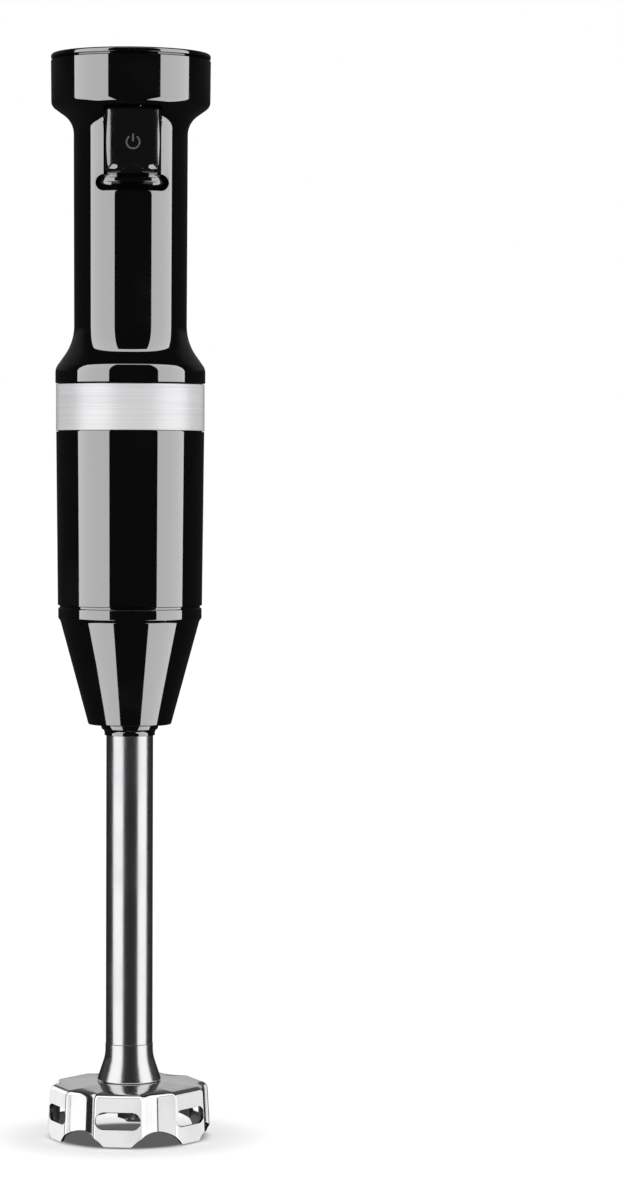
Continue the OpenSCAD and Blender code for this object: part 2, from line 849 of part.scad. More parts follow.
// ---- arm ----
cone_slope = (cone_top_d - cone_low_d) / 2 / cone_h;
step_r = nose_r - groove_depth;
flange_t = 3.5;
flange_seat_r = nose_r - 2.4;
module cone_outline(t) {
    edge = 0.5;
    r0 = cone_low_d / 2 - t;
    revolve([[0, z_cone + t], [r0 - edge, z_cone + t], [r0, z_cone + t + edge],
        [cone_top_d / 2 - t, z_nose - t * cone_slope], [nose_r - t, z_nose + 1.2], [nose_r - t, z_joint],
        [step_r - t, z_joint], [step_r - t, z_body - 0.1], [0, z_body - 0.1]]);
}
module arm_cone() {
    color(black) difference() {
        cone_outline(0);
        intersection() {
            cone_outline(cone_wall);
            ring(nose_r, 0, 0, z_joint - flange_t - 1);
        }
        ring(flange_seat_r - 1, 0, z_joint - flange_t - 2, 3);
        ring(flange_seat_r, 0, z_joint - flange_t, big);
        ring(tube_r + fit, 0, 0, z_nose);
    }
}

hub_h = 20;
hub_z0 = z_joint - hub_h;
tube_seat = 6;
module arm_spigot() {
    color(soft_black) difference() {
        union() {
            ring(flange_seat_r - fit, 0, z_joint - flange_t, flange_t);
            ring(spigot_r, 0, z_joint - eps, spigot_h);
            ring(tube_r + 2, 0, hub_z0, hub_h);
            thrice() segment(lug_r, spigot_r - 1, lug_angle, z_lug, lug_t);
        }
        ring(spigot_r - 2, 0, z_joint - 0.4, big);
        ring(tube_r + fit, 0, hub_z0 - 1, tube_seat + 1);
        ring(bush_r + fit, 0, 0, big);
    }
}

module spigot_seal() {
    seal_w = 2;
    color([0.25, 0.25, 0.26]) ring(spigot_r + seal_w, spigot_r + fit, z_joint, joint_gap - 0.3);
}

module tip_collar() {
    foot = 0.7;
    rim_r = tube_r + foot;
    color(black) difference() {
        revolve(concat([[0, z_tip], [rim_r, z_tip]],
            arc(tip_d / 2 + 0.3, z_tip + 0.9, tip_d / 2 + 0.3 - rim_r, 180, 110, 6),
            [[tip_d / 2, z_cone], [0, z_cone]]));
        ring(tube_r + fit, 0, 0, big * 2);
    }
}

module shaft_tube() {
    color(steel) ring(tube_r, tube_r - tube_wall, z_tube, hub_z0 + tube_seat - z_tube);
}

module neck_outline() {
    neck_r = neck_d / 2;
    top_r = tube_r + 0.15;
    bend_r = 16;
    slope = s_slope(neck_r - top_r, neck_h - 2, bend_r);
    revolve(concat([[0, z_roof], [neck_r, z_roof]],
        arc(top_r + bend_r, z_tube - 2, bend_r, 180 + slope, 180, 6),
        [[top_r, z_tube], [0, z_tube]]));
}
boss_r = bush_r + 4.4;
module bell_neck() {
    color(steel) difference() {
        union() {
            neck_outline();
            ring(boss_r, 0, z_roof - bell_wall - 2.4, bell_wall + 2.5);
            ring(tube_r - tube_wall - fit, 0, z_tube - eps, 7);
        }
        ring(bush_r + fit, 0, 0, big);
    }
}

// Outside shape of the bell, set in by t: three crossed slabs, less a leaning flute at each corner
foot_r = bell_across / 2;
corner_r = norm([foot_r, facet_w / 2]);
flute_half = 30 - atan2(facet_w / 2, foot_r);
flute_chord = corner_r * sin(flute_half);
flute_r = (flute_chord * flute_chord + flute_depth * flute_depth) / (2 * flute_depth);
flute_at = corner_r * cos(flute_half) - flute_depth + flute_r;
lean_angle = atan2(facet_lean, bell_h);
module bell_shape(t) {
    a = foot_r - t;
    top = bell_h + crown_rise;
    in = facet_lean * top / bell_h;
    rotate([0, 0, bell_turn]) difference() {
        intersection() {
            slab(a, in, top, 0);
            slab(a, in, top, 60);
            slab(a, in, top, 120);
            revolve([[0, -1], [corner_r + 1, -1], [corner_r + 1, bell_h - t], [neck_d / 2, z_roof - t],
                [0, z_roof - t]]);
        }
        for (k = [0:5]) rotate([0, 0, 60 * k + 30]) translate([0, -flute_at, 0]) rotate([-lean_angle, 0, 0])
            translate([0, 0, -2]) cylinder(r = flute_r + t, h = bell_h + 6);
    }
}
module slab(a, in, top, turn) {
    dip = 1;
    slope = in / top;
    rotate([0, 0, turn]) rotate([90, 0, 90]) linear_extrude(big / 2, center = true)
        polygon([[-a - dip * slope, -dip], [a + dip * slope, -dip], [a - in, top], [in - a, top]]);
}
arch_r = (arch_w * arch_w / 4 + arch_h * arch_h) / (2 * arch_h);
module bell() {
    color(steel) difference() {
        intersection() {
            bell_shape(0);
            ring(corner_r + 1, 0, 0, big);
        }
        bell_shape(bell_wall);
        ring(boss_r + fit, 0, 0, big);
        rotate([0, 0, bell_turn]) for (k = [0:5]) {
            rotate([0, 0, 60 * k]) translate([0, 4 - foot_r, slot_z]) rotate([90, 0, 0])
                linear_extrude(8) stadium(slot_w, slot_h);
            rotate([0, 0, 60 * k + 30]) translate([0, 9 - foot_r, arch_h - arch_r]) rotate([90, 0, 0])
                cylinder(r = arch_r, h = 14);
        }
    }
}

module bush(z, h) {
    color(brass) ring(bush_r, shaft_r + running, z, h);
}
module upper_bush() {
    bush(z_joint - 12, 11);
}
module lower_bush() {
    bush(z_roof + 4, 14);
}
module shaft_seal() {
    color(soft_black) ring(bush_r, shaft_r + running, z_roof - bell_wall - 2.2, 5);
}

// ---- blade group ----
module drive_shaft() {
    z0 = blade_z - hub_drop - nut_h - 0.5;
    color(steel) ring(shaft_r, 0, z0, z_dogs - 0.6 - z0);
}

hub_r = wing_w / 2 + 1;
hub_drop = hub_r * tan(wing_bend);
nut_h = 2.6;
module wing(bend) {
    rotate([0, -bend, 0]) linear_extrude(blade_t) difference() {
        union() {
            translate([0, -wing_w / 2]) square([blade_len / 2 - wing_w / 2, wing_w]);
            translate([blade_len / 2 - wing_w / 2, 0]) circle(d = wing_w);
        }
        translate([blade_len / 2, wing_w * 1.15]) circle(r = wing_w);
    }
}
module blade() {
    color(steel) translate([0, 0, blade_z]) difference() {
        union() {
            wing(wing_bend);
            rotate([0, 0, 180]) wing(-wing_bend);
            ring(hub_r, 0, -hub_drop, 5 + hub_drop);
        }
        ring(shaft_r + fit, 0, -big, 2 * big);
    }
}

module blade_nut() {
    color(steel) difference() {
        translate([0, 0, blade_z - hub_drop - nut_h]) cylinder(r = shaft_r + 1.9, h = nut_h, $fn = 6);
        ring(shaft_r + fit, 0, 0, big);
    }
}

top_cap();
front_shell();
rear_shell();
cord_grommet();
cord_clamp();
clamp_screws();
band_screws();
trim_band();
motor_body();
bayonet_ring();
lip_seal();
trigger_pin();
speed_switch();
control_board();
capacitor();
choke();
heatsink();
board_screws();
motor_bracket();
motor_can();
magnets();
end_bell();
brush_holders();
carbon_brushes();
lower_bearing();
upper_bearing();
motor_mounts();
motor_leads();
motor_shaft();
armature_core();
armature_winding();
commutator();
cooling_fan();
drive_dog();
lock_ring();
arm_cone();
arm_spigot();
spigot_seal();
tip_collar();
shaft_tube();
bell_neck();
bell();
upper_bush();
lower_bush();
shaft_seal();
drive_shaft();
driven_dog();
blade();
blade_nut();
trigger();
trigger_spring();
speed_plunger();
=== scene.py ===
import json
import math

import bmesh
import bpy
from mathutils import Matrix, Vector

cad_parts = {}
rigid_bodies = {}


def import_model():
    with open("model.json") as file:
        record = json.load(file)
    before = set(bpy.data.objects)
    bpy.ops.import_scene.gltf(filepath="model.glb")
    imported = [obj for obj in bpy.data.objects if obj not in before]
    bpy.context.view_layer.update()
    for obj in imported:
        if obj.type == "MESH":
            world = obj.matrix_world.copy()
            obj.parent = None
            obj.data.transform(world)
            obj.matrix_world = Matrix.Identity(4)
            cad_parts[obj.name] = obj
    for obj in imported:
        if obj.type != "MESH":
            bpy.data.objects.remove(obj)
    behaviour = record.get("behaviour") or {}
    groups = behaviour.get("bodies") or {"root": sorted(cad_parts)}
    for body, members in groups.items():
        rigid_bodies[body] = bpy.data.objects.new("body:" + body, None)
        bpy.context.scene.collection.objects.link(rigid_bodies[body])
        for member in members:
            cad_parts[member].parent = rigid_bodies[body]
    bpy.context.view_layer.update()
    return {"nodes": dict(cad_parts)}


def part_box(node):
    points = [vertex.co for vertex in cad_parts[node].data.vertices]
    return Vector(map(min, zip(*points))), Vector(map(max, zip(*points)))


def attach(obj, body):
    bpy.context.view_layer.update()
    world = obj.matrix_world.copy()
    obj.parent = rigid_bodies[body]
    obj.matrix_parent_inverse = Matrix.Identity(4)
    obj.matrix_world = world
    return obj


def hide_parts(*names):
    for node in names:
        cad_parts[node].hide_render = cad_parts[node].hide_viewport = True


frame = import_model()

MM = 0.001
MARK_FINISH = "mark_grey"


# ---- heights and radii in millimetres, from the frame ----
def low(node, axis=2):
    """Lowest coordinate of a node's box along an axis, Z by default."""
    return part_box(node)[0][axis] / MM


def high(node, axis=2):
    """Highest coordinate of a node's box along an axis, Z by default."""
    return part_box(node)[1][axis] / MM


z_roof = high("bell")
z_tube = low("shaft_tube")
z_tip = low("tip_collar")
z_cone = low("arm_cone")
z_body = low("motor_body")
z_band = low("trim_band")
z_band_top = high("trim_band")
z_gap = high("front_shell")
z_top = high("top_cap")
joint_gap = 1.1
nose_h = 5
band_gap = 0.3
collar_h = 4.1
flare_h = 17.9
grip_len = 73.1
shoulder_h = 12.5
z_joint = z_body - joint_gap
z_nose = z_joint - nose_h
z_collar = z_band_top + band_gap
z_flare = z_collar + collar_h
z_grip = z_flare + flare_h
z_shoulder = z_grip + grip_len
z_head = z_shoulder + shoulder_h
z_lip = low("trigger")
z_trigger = high("trigger")
z_window = z_trigger + 0.6
z_bar = z_lip - 1.2
z_recess = z_bar - 2
recess_w, recess_h = 27.6, 6.2
bar_w, bar_h = 19.1, 1.9

collar_r = 28.75
grip_low_r = 21.6
grip_top_r = 21.85
head_low_r = 30.45
head_r = high("front_shell", 0)
cap_r = high("top_cap", 0)
band_r = high("trim_band", 0)
tube_r = high("shaft_tube", 0)
shell_wall = 2.2
skirt_r = 25.2
skirt_wall = 2.2
recess_floor_r = grip_top_r - 2.4


# ---- outlines and meshes ----
def arc(cx, cy, r, a0, a1, steps):
    """Points along an arc, from angle a0 to a1 in degrees."""
    turns = [math.radians(a0 + (a1 - a0) * i / steps) for i in range(steps + 1)]
    return [(cx + r * math.cos(a), cy + r * math.sin(a)) for a in turns]


def s_slope(dr, dz, s):
    """Slope of the line that joins the arcs of an S-curve whose radii add up to s."""
    line = math.sqrt((dr - s) ** 2 + dz * dz - s * s)
    return 90 - math.degrees(math.atan2(dz, dr - s) - math.atan2(s, line))


def rounded(corners, steps=4):
    """A closed outline through (x, y, radius) corners, each turned by an arc of its radius."""
    outline = []
    for i, (x, y, radius) in enumerate(corners):
        here = Vector((x, y))
        if radius == 0:
            outline.append((x, y))
            continue
        back = Vector(corners[i - 1][:2]) - here
        ahead = Vector(corners[(i + 1) % len(corners)][:2]) - here
        half = back.angle(ahead) / 2
        reach = min(radius / math.tan(half), 0.49 * back.length, 0.49 * ahead.length)
        radius = reach * math.tan(half)
        back.normalize()
        ahead.normalize()
        centre = here + (back + ahead).normalized() * (radius / math.sin(half))
        start = here + back * reach - centre
        end = here + ahead * reach - centre
        turn = math.pi - 2 * half
        for k in range(steps + 1):
            t = k / steps
            p = (start * math.sin((1 - t) * turn) + end * math.sin(t * turn)) / math.sin(turn)
            outline.append(tuple(centre + p))
    return outline


def lathe(outline, segments, start=0, sweep=360):
    """Vertices and faces of a closed (r, z) outline turned round Z, capped where it stops short."""
    full = sweep == 360
    stations = segments if full else segments + 1
    count = len(outline)
    verts = []
    faces = []
    for i in range(stations):
        a = math.radians(start + sweep * i / segments)
        verts += [(r * math.cos(a), r * math.sin(a), z) for r, z in outline]
    for i in range(segments):
        for j in range(count):
            here = i * count
            there = ((i + 1) % stations) * count
            k = (j + 1) % count
            faces.append((here + j, there + j, there + k, here + k))
    if not full:
        faces.append(tuple(range(count)))
        faces.append(tuple(segments * count + j for j in reversed(range(count))))
    return verts, faces


def prism(outline, y0, y1):
    """An (x, z) outline stretched along Y."""
    count = len(outline)
    verts = [(x, y0, z) for x, z in outline] + [(x, y1, z) for x, z in outline]
    faces = [(i, (i + 1) % count, count + (i + 1) % count, count + i) for i in range(count)]
    faces += [tuple(range(count)), tuple(count + i for i in reversed(range(count)))]
    return verts, faces


def stadium(w, h, z):
    """An upright plate's outline with round ends, centred on X at a height z."""
    reach = (w - h) / 2
    right = [(reach + x, z + y) for x, y in arc(0, 0, h / 2, -90, 90, 14)]
    left = [(x - reach, z + y) for x, y in arc(0, 0, h / 2, 90, 270, 14)]
    return right + left


def form(name, verts, faces, turn=None):
    """A mesh object from millimetre coordinates, with doubled points merged and normals outward."""
    merge = 0.004
    shape = bmesh.new()
    made = [shape.verts.new((turn @ Vector(v) if turn else Vector(v)) * MM) for v in verts]
    for face in faces:
        shape.faces.new([made[i] for i in face])
    bmesh.ops.remove_doubles(shape, verts=shape.verts, dist=merge * MM)
    bmesh.ops.dissolve_degenerate(shape, edges=shape.edges, dist=merge * MM / 2)
    bmesh.ops.recalc_face_normals(shape, faces=shape.faces)
    mesh = bpy.data.meshes.new(name)
    shape.to_mesh(mesh)
    shape.free()
    obj = bpy.data.objects.new(name, mesh)
    bpy.context.scene.collection.objects.link(obj)
    return obj


def settle(obj):
    """Turns an object's modifiers into its mesh."""
    bpy.context.view_layer.update()
    graph = bpy.context.evaluated_depsgraph_get()
    mesh = bpy.data.meshes.new_from_object(obj.evaluated_get(graph))
    obj.modifiers.clear()
    obj.data = mesh


def carve(obj, tools):
    """Cuts the tools' shapes out of an object, and removes the tools."""
    merge = 0.02
    for tool in tools:
        step = obj.modifiers.new("carve", "BOOLEAN")
        step.operation = "DIFFERENCE"
        step.solver = "EXACT"
        step.object = tool
    settle(obj)
    for tool in tools:
        bpy.data.objects.remove(tool)
    shape = bmesh.new()
    shape.from_mesh(obj.data)
    bmesh.ops.remove_doubles(shape, verts=shape.verts, dist=merge * MM)
    shape.to_mesh(obj.data)
    shape.free()


def soften(obj, width, angle=50, segments=2):
    """Rounds the edges that turn by more than the angle."""
    step = obj.modifiers.new("soften", "BEVEL")
    step.width = width * MM
    step.segments = segments
    step.limit_method = "ANGLE"
    step.angle_limit = math.radians(angle)
    step.use_clamp_overlap = False
    step.harden_normals = False
    settle(obj)


def place(obj, body, slot, *stands_for, crease=32):
    """Gives a finished piece its shading, finish and body, and hides the CAD nodes that it stands for."""
    obj.data.shade_smooth()
    obj.data.set_sharp_from_angle(angle=math.radians(crease))
    obj.data.materials.clear()
    obj.data.materials.append(FINISHES[slot])
    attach(obj, body)
    if stands_for:
        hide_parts(*stands_for)
    return obj


# ---- node helpers ----
def add(tree, kind, inputs=None, **settings):
    """Adds a node with its settings, then sets or links its inputs."""
    node = tree.nodes.new("ShaderNode" + kind)
    for key, value in settings.items():
        setattr(node, key, value)
    for key, value in (inputs or {}).items():
        if isinstance(value, bpy.types.NodeSocket):
            tree.links.new(value, node.inputs[key])
        else:
            node.inputs[key].default_value = value
    return node


def maths(tree, operation, a, b, clamp=False):
    """One sum of two values or outputs."""
    return add(tree, "Math", {0: a, 1: b}, operation=operation, use_clamp=clamp).outputs[0]


def remap(tree, value, low_in, high_in, low_out, high_out, smooth=False):
    """Moves a value from one range to another, and holds it there past the ends."""
    kind = "SMOOTHSTEP" if smooth else "LINEAR"
    inputs = {"Value": value, 1: low_in, 2: high_in, 3: low_out, 4: high_out}
    return add(tree, "MapRange", inputs, interpolation_type=kind).outputs[0]


def spots(tree):
    """Object coordinates, in metres."""
    return add(tree, "TexCoord").outputs["Object"]


def stretched(tree, x, y, z):
    """Object coordinates scaled apart, so that a texture on them runs long or fine."""
    return add(tree, "Mapping", {"Vector": spots(tree), "Scale": (x, y, z)}).outputs[0]


def cloud(tree, at, scale, detail=2.0):
    """Soft noise at a scale, from 0 to 1."""
    return add(tree, "TexNoise", {"Vector": at, "Scale": scale, "Detail": detail}).outputs[0]


def blend(tree, mask, base, top):
    """A colour between two plain ones, by a mask."""
    inputs = {"Factor": mask, 6: (*base, 1), 7: (*top, 1)}
    return add(tree, "Mix", inputs, data_type="RGBA").outputs[2]


def effect(name, inputs, outputs, build):
    """A shader node group with named float inputs and outputs."""
    tree = bpy.data.node_groups.new(name, "ShaderNodeTree")
    for label, value in inputs.items():
        socket = tree.interface.new_socket(label, in_out="INPUT", socket_type="NodeSocketFloat")
        socket.default_value = value
    for label in outputs:
        tree.interface.new_socket(label, in_out="OUTPUT", socket_type="NodeSocketFloat")
    source = tree.nodes.new("NodeGroupInput")
    sink = tree.nodes.new("NodeGroupOutput")
    build(tree, source.outputs, sink.inputs)
    return tree


def use(tree, group, **inputs):
    """Places a group in a material with its own values."""
    node = tree.nodes.new("ShaderNodeGroup")
    node.node_tree = group
    for key, value in inputs.items():
        node.inputs[key.replace("_", " ")].default_value = value
    return node.outputs


# ---- shared effects ----
def build_handling(tree, i, o):
    """Finger smudges: soft patches with fine ridges in them."""
    at = spots(tree)
    patch = remap(tree, cloud(tree, at, i["Scale"]), 0.52, 0.72, 0, 1, smooth=True)
    ridge_inputs = {"Vector": at, "Scale": 420.0, "Distortion": 9.0, "Detail": 2.0, "Detail Scale": 0.6}
    ridges = add(tree, "TexWave", ridge_inputs, wave_type="RINGS").outputs["Fac"]
    ridges = remap(tree, ridges, 0, 1, 0.55, 1)
    haze = remap(tree, cloud(tree, at, 900.0, 4.0), 0.3, 0.8, 0, 0.25)
    marks = maths(tree, "ADD", maths(tree, "MULTIPLY", patch, ridges), haze)
    tree.links.new(maths(tree, "MULTIPLY", marks, i["Amount"], clamp=True), o["Mask"])


def build_brushing(tree, i, o):
    """Streaks left by a brush that ran round Z: long across X and Y, fine along Z."""
    fine = cloud(tree, stretched(tree, 24, 24, 5200), 1.0, 3.0)
    broad = cloud(tree, stretched(tree, 9, 9, 900), 1.0)
    both = maths(tree, "ADD", maths(tree, "MULTIPLY", fine, 0.7), maths(tree, "MULTIPLY", broad, 0.3))
    contrast = maths(tree, "MULTIPLY", maths(tree, "SUBTRACT", both, 0.5), i["Contrast"])
    tree.links.new(maths(tree, "ADD", contrast, 0.5, clamp=True), o["Streaks"])


def build_polish(tree, i, o):
    """Faint polishing lines that run down a piece, and cloudy wiping marks."""
    lines = cloud(tree, stretched(tree, 2600, 2600, 22), 1.0)
    clouds = cloud(tree, stretched(tree, 60, 60, 34), 1.0, 4.0)
    tree.links.new(remap(tree, lines, 0.3, 0.7, 0, 1), o["Lines"])
    cloudy = remap(tree, clouds, 0.42, 0.7, 0, 1, smooth=True)
    tree.links.new(maths(tree, "MULTIPLY", cloudy, i["Amount"]), o["Clouds"])


def build_scratches(tree, i, o):
    """Thin scratches in two directions."""
    total = 0.0
    for turn, size in ((0.5, 95.0), (2.1, 140.0)):
        turned_inputs = {"Vector": spots(tree), "Rotation": (turn, 0.3, turn), "Scale": (1, 6, 1)}
        turned = add(tree, "Mapping", turned_inputs).outputs[0]
        cell_inputs = {"Vector": turned, "Scale": size}
        cells = add(tree, "TexVoronoi", cell_inputs, feature="DISTANCE_TO_EDGE").outputs[0]
        total = maths(tree, "MAXIMUM", total, remap(tree, cells, 0.0, 0.012, 1, 0))
    broken = remap(tree, cloud(tree, spots(tree), 130.0), 0.54, 0.62, 0, 1)
    total = maths(tree, "MULTIPLY", total, broken)
    tree.links.new(maths(tree, "MULTIPLY", total, i["Amount"]), o["Mask"])


def build_edge_wear(tree, i, o):
    """Where an edge is: the rounded normal leaves the flat one."""
    round_normal = add(tree, "Bevel", {"Radius": i["Radius"]}, samples=4).outputs[0]
    flat_normal = add(tree, "NewGeometry").outputs["Normal"]
    both = {0: round_normal, 1: flat_normal}
    cosine = add(tree, "VectorMath", both, operation="DOT_PRODUCT").outputs["Value"]
    edge = remap(tree, cosine, 0.995, 0.8, 0, 1)
    broken = remap(tree, cloud(tree, spots(tree), 600.0, 3.0), 0.35, 0.6, 0.25, 1)
    tree.links.new(maths(tree, "MULTIPLY", edge, broken), o["Mask"])


def build_grain(tree, i, o):
    """Pebbled surface of a moulding."""
    at = spots(tree)
    pebbles = add(tree, "TexVoronoi", {"Vector": at, "Scale": i["Scale"]}, feature="SMOOTH_F1").outputs[0]
    noise = cloud(tree, at, i["Scale"], 3.0)
    tree.links.new(maths(tree, "ADD", pebbles, noise), o["Height"])


handling = effect("handling marks", {"Scale": 55.0, "Amount": 1.0}, ["Mask"], build_handling)
brushing = effect("brushing round Z", {"Contrast": 1.6}, ["Streaks"], build_brushing)
polish = effect("polishing lines", {"Amount": 1.0}, ["Lines", "Clouds"], build_polish)
scratches = effect("fine scratches", {"Amount": 1.0}, ["Mask"], build_scratches)
edge_wear = effect("edge wear", {"Radius": 0.0004}, ["Mask"], build_edge_wear)
grain = effect("moulded grain", {"Scale": 2600.0}, ["Height"], build_grain)


# ---- finishes, one for each slot ----
def grey(level, tint=0.0):
    """A neutral colour, or one with a touch more blue."""
    return level, level, level + tint


for plain in list(bpy.data.materials):
    plain.name = "cad " + plain.name


def finish(name, **sockets):
    """A material with a Principled shader, whose plain sockets are set here."""
    material = bpy.data.materials.new(name)
    material.use_nodes = True
    shader = material.node_tree.nodes["Principled BSDF"]
    for key, value in sockets.items():
        shader.inputs[key.replace("_", " ")].default_value = value
    return material, material.node_tree, shader


def bump(tree, shader, height, depth):
    """Raises the surface by up to a depth in millimetres."""
    inputs = {"Height": height, "Distance": depth * MM}
    tree.links.new(add(tree, "Bump", inputs).outputs[0], shader.inputs["Normal"])


def feed(tree, shader, **links):
    """Links outputs to the shader's sockets by name."""
    for key, value in links.items():
        tree.links.new(value, shader.inputs[key.replace("_", " ")])


def moulded(name, base, worn, rough, smudged, grain_scale, depth):
    """A moulding: its colour pales at the edges, and handling changes its gloss."""
    material, tree, shader = finish(name, IOR=1.5)
    marks = use(tree, handling, Amount=1.0)["Mask"]
    edges = use(tree, edge_wear, Radius=0.3 * MM)["Mask"]
    feed(tree, shader, Base_Color=blend(tree, edges, base, worn))
    feed(tree, shader, Roughness=remap(tree, marks, 0, 1, rough, smudged))
    bump(tree, shader, use(tree, grain, Scale=grain_scale)["Height"], depth)
    return material


def satin_metal(name, base, dark, rough, streaked, contrast, turned, depth):
    """Metal with brush lines round Z, and highlights drawn out across them where it is turned."""
    material, tree, shader = finish(name, Metallic=1.0, Anisotropic=turned)
    streaks = use(tree, brushing, Contrast=contrast)["Streaks"]
    feed(tree, shader, Base_Color=blend(tree, streaks, dark, base))
    feed(tree, shader, Roughness=remap(tree, streaks, 0, 1, streaked, rough))
    if turned:
        around = add(tree, "Tangent", direction_type="RADIAL", axis="Z").outputs[0]
        feed(tree, shader, Tangent=around)
    bump(tree, shader, streaks, depth)
    return material


def plain_metal(name, base, dark, rough, worn_rough):
    """Small metal parts: scratches, handling marks and brighter edges."""
    material, tree, shader = finish(name, Metallic=1.0)
    lines = use(tree, scratches, Amount=1.0)["Mask"]
    edges = use(tree, edge_wear, Radius=0.2 * MM)["Mask"]
    marks = use(tree, handling, Scale=160.0, Amount=0.8)["Mask"]
    handled = maths(tree, "SUBTRACT", marks, edges, clamp=True)
    worn = maths(tree, "MAXIMUM", lines, marks)
    feed(tree, shader, Base_Color=blend(tree, handled, base, dark))
    feed(tree, shader, Roughness=remap(tree, worn, 0, 1, rough, worn_rough))
    bump(tree, shader, maths(tree, "MULTIPLY", lines, -1.0), 0.003)
    return material


def gloss_black():
    """Polished moulding: smudges, hairline scratches and a trace of ripple."""
    material, tree, shader = finish("gloss_black", IOR=1.5)
    marks = use(tree, handling, Scale=38.0, Amount=1.0)["Mask"]
    lines = use(tree, scratches, Amount=0.5)["Mask"]
    feed(tree, shader, Base_Color=blend(tree, marks, grey(0.0004), grey(0.0009)))
    feed(tree, shader, Roughness=remap(tree, maths(tree, "ADD", marks, lines), 0, 1, 0.028, 0.075))
    bump(tree, shader, cloud(tree, spots(tree), 210.0, 1.0), 0.0012)
    return material


def polished_steel():
    """Mirror-polished sheet, with painted shade: its inside and downward faces get a dark base colour, and
    more roughness.
    """
    material, tree, shader = finish("polished_steel", Metallic=1.0)
    marks = use(tree, polish, Amount=1.0)
    lines = use(tree, scratches, Amount=0.7)["Mask"]
    where = add(tree, "NewGeometry").outputs
    flat = {0: where["Position"], 1: (1, 1, 0)}
    outward = add(tree, "VectorMath", flat, operation="MULTIPLY").outputs[0]
    both = {0: where["Normal"], 1: outward}
    facing = add(tree, "VectorMath", both, operation="DOT_PRODUCT").outputs["Value"]
    upward = add(tree, "SeparateXYZ", {"Vector": where["Normal"]}).outputs["Z"]
    # Painted shade: faces turned in towards the axis, or down, take the dark colour.
    painted_shade_inward = remap(tree, facing, -0.004, -0.0005, 1, 0)
    inside = maths(tree, "MAXIMUM", painted_shade_inward, remap(tree, upward, -0.6, -0.3, 1, 0))
    bright = blend(tree, marks["Clouds"], grey(0.64, 0.01), grey(0.56, 0.01))
    painted_shade_mix = {"Factor": inside, 6: bright, 7: (0.07, 0.07, 0.072, 1)}
    feed(tree, shader, Base_Color=add(tree, "Mix", painted_shade_mix, data_type="RGBA").outputs[2])
    worn = maths(tree, "ADD", maths(tree, "MULTIPLY", marks["Lines"], 0.35), marks["Clouds"])
    shine = remap(tree, maths(tree, "ADD", worn, lines), 0, 1.6, 0.07, 0.17)
    feed(tree, shader, Roughness=maths(tree, "ADD", shine, maths(tree, "MULTIPLY", inside, 0.35)))
    bump(tree, shader, cloud(tree, spots(tree), 130.0, 1.5), 0.012)
    return material


def satin_steel():
    """Tube steel: brush lines round it, polishing lines down it and wiping marks."""
    material, tree, shader = finish("satin_steel", Metallic=1.0, Anisotropic=0.45)
    marks = use(tree, polish, Amount=0.8)
    streaks = use(tree, brushing, Contrast=1.2)["Streaks"]
    feed(tree, shader, Base_Color=blend(tree, marks["Clouds"], grey(0.58, 0.01), grey(0.53, 0.01)))
    worn = maths(tree, "ADD", maths(tree, "MULTIPLY", streaks, 0.6), marks["Clouds"])
    feed(tree, shader, Roughness=remap(tree, worn, 0, 1.4, 0.17, 0.25))
    feed(tree, shader, Tangent=add(tree, "Tangent", direction_type="RADIAL", axis="Z").outputs[0])
    bump(tree, shader, maths(tree, "ADD", marks["Lines"], streaks), 0.0012)
    return material


def board_green():
    """Circuit board with a grid of tracks under its lacquer."""
    material, tree, shader = finish("board_green", IOR=1.5)
    inputs = {"Vector": spots(tree), "Scale": 420.0, "Randomness": 0.0}
    tracks = add(tree, "TexVoronoi", inputs, feature="DISTANCE_TO_EDGE", distance="CHEBYCHEV").outputs[0]
    lines = remap(tree, tracks, 0.05, 0.1, 1, 0)
    feed(tree, shader, Base_Color=blend(tree, lines, (0.012, 0.09, 0.03), (0.03, 0.17, 0.06)))
    feed(tree, shader, Roughness=remap(tree, lines, 0, 1, 0.3, 0.42))
    bump(tree, shader, lines, 0.03)
    return material


def wound_copper():
    """Enamelled wire, laid turn by turn."""
    material, tree, shader = finish("copper", Metallic=1.0)
    inputs = {"Vector": spots(tree), "Scale": 260.0, "Distortion": 1.5}
    turns = add(tree, "TexWave", inputs, bands_direction="DIAGONAL").outputs["Fac"]
    feed(tree, shader, Base_Color=blend(tree, turns, (0.30, 0.10, 0.035), (0.72, 0.32, 0.14)))
    feed(tree, shader, Roughness=remap(tree, turns, 0, 1, 0.42, 0.24))
    bump(tree, shader, turns, 0.12)
    return material


# Base colour, worn colour, roughness, smudged roughness, grain scale and grain depth
MOULDINGS = {
    "satin_black": (grey(0.001), grey(0.0025), 0.075, 0.13, 3200.0, 0.001),
    "soft_black": (grey(0.009), grey(0.022), 0.55, 0.68, 1800.0, 0.02),
    "inner_black": (grey(0.010, 0.0005), grey(0.022), 0.38, 0.5, 1500.0, 0.012),
    "rubber_black": (grey(0.012), grey(0.03), 0.66, 0.8, 1400.0, 0.02),
    "rubber_grey": (grey(0.09, 0.005), grey(0.16, 0.005), 0.6, 0.75, 1400.0, 0.02),
    "white_nylon": ((0.62, 0.60, 0.54), (0.74, 0.73, 0.68), 0.4, 0.52, 1200.0, 0.01),
    "capacitor_sleeve": ((0.012, 0.014, 0.05), (0.03, 0.034, 0.1), 0.28, 0.4, 900.0, 0.006),
    "magnet_ferrite": (grey(0.03, 0.001), grey(0.07, 0.002), 0.5, 0.62, 1600.0, 0.02),
    "carbon": (grey(0.015), grey(0.04), 0.45, 0.6, 2200.0, 0.02),
    "lead_red": ((0.36, 0.02, 0.015), (0.5, 0.06, 0.05), 0.38, 0.5, 1200.0, 0.008),
    MARK_FINISH: (grey(0.014, 0.0005), grey(0.02), 0.42, 0.52, 2600.0, 0.004),
}
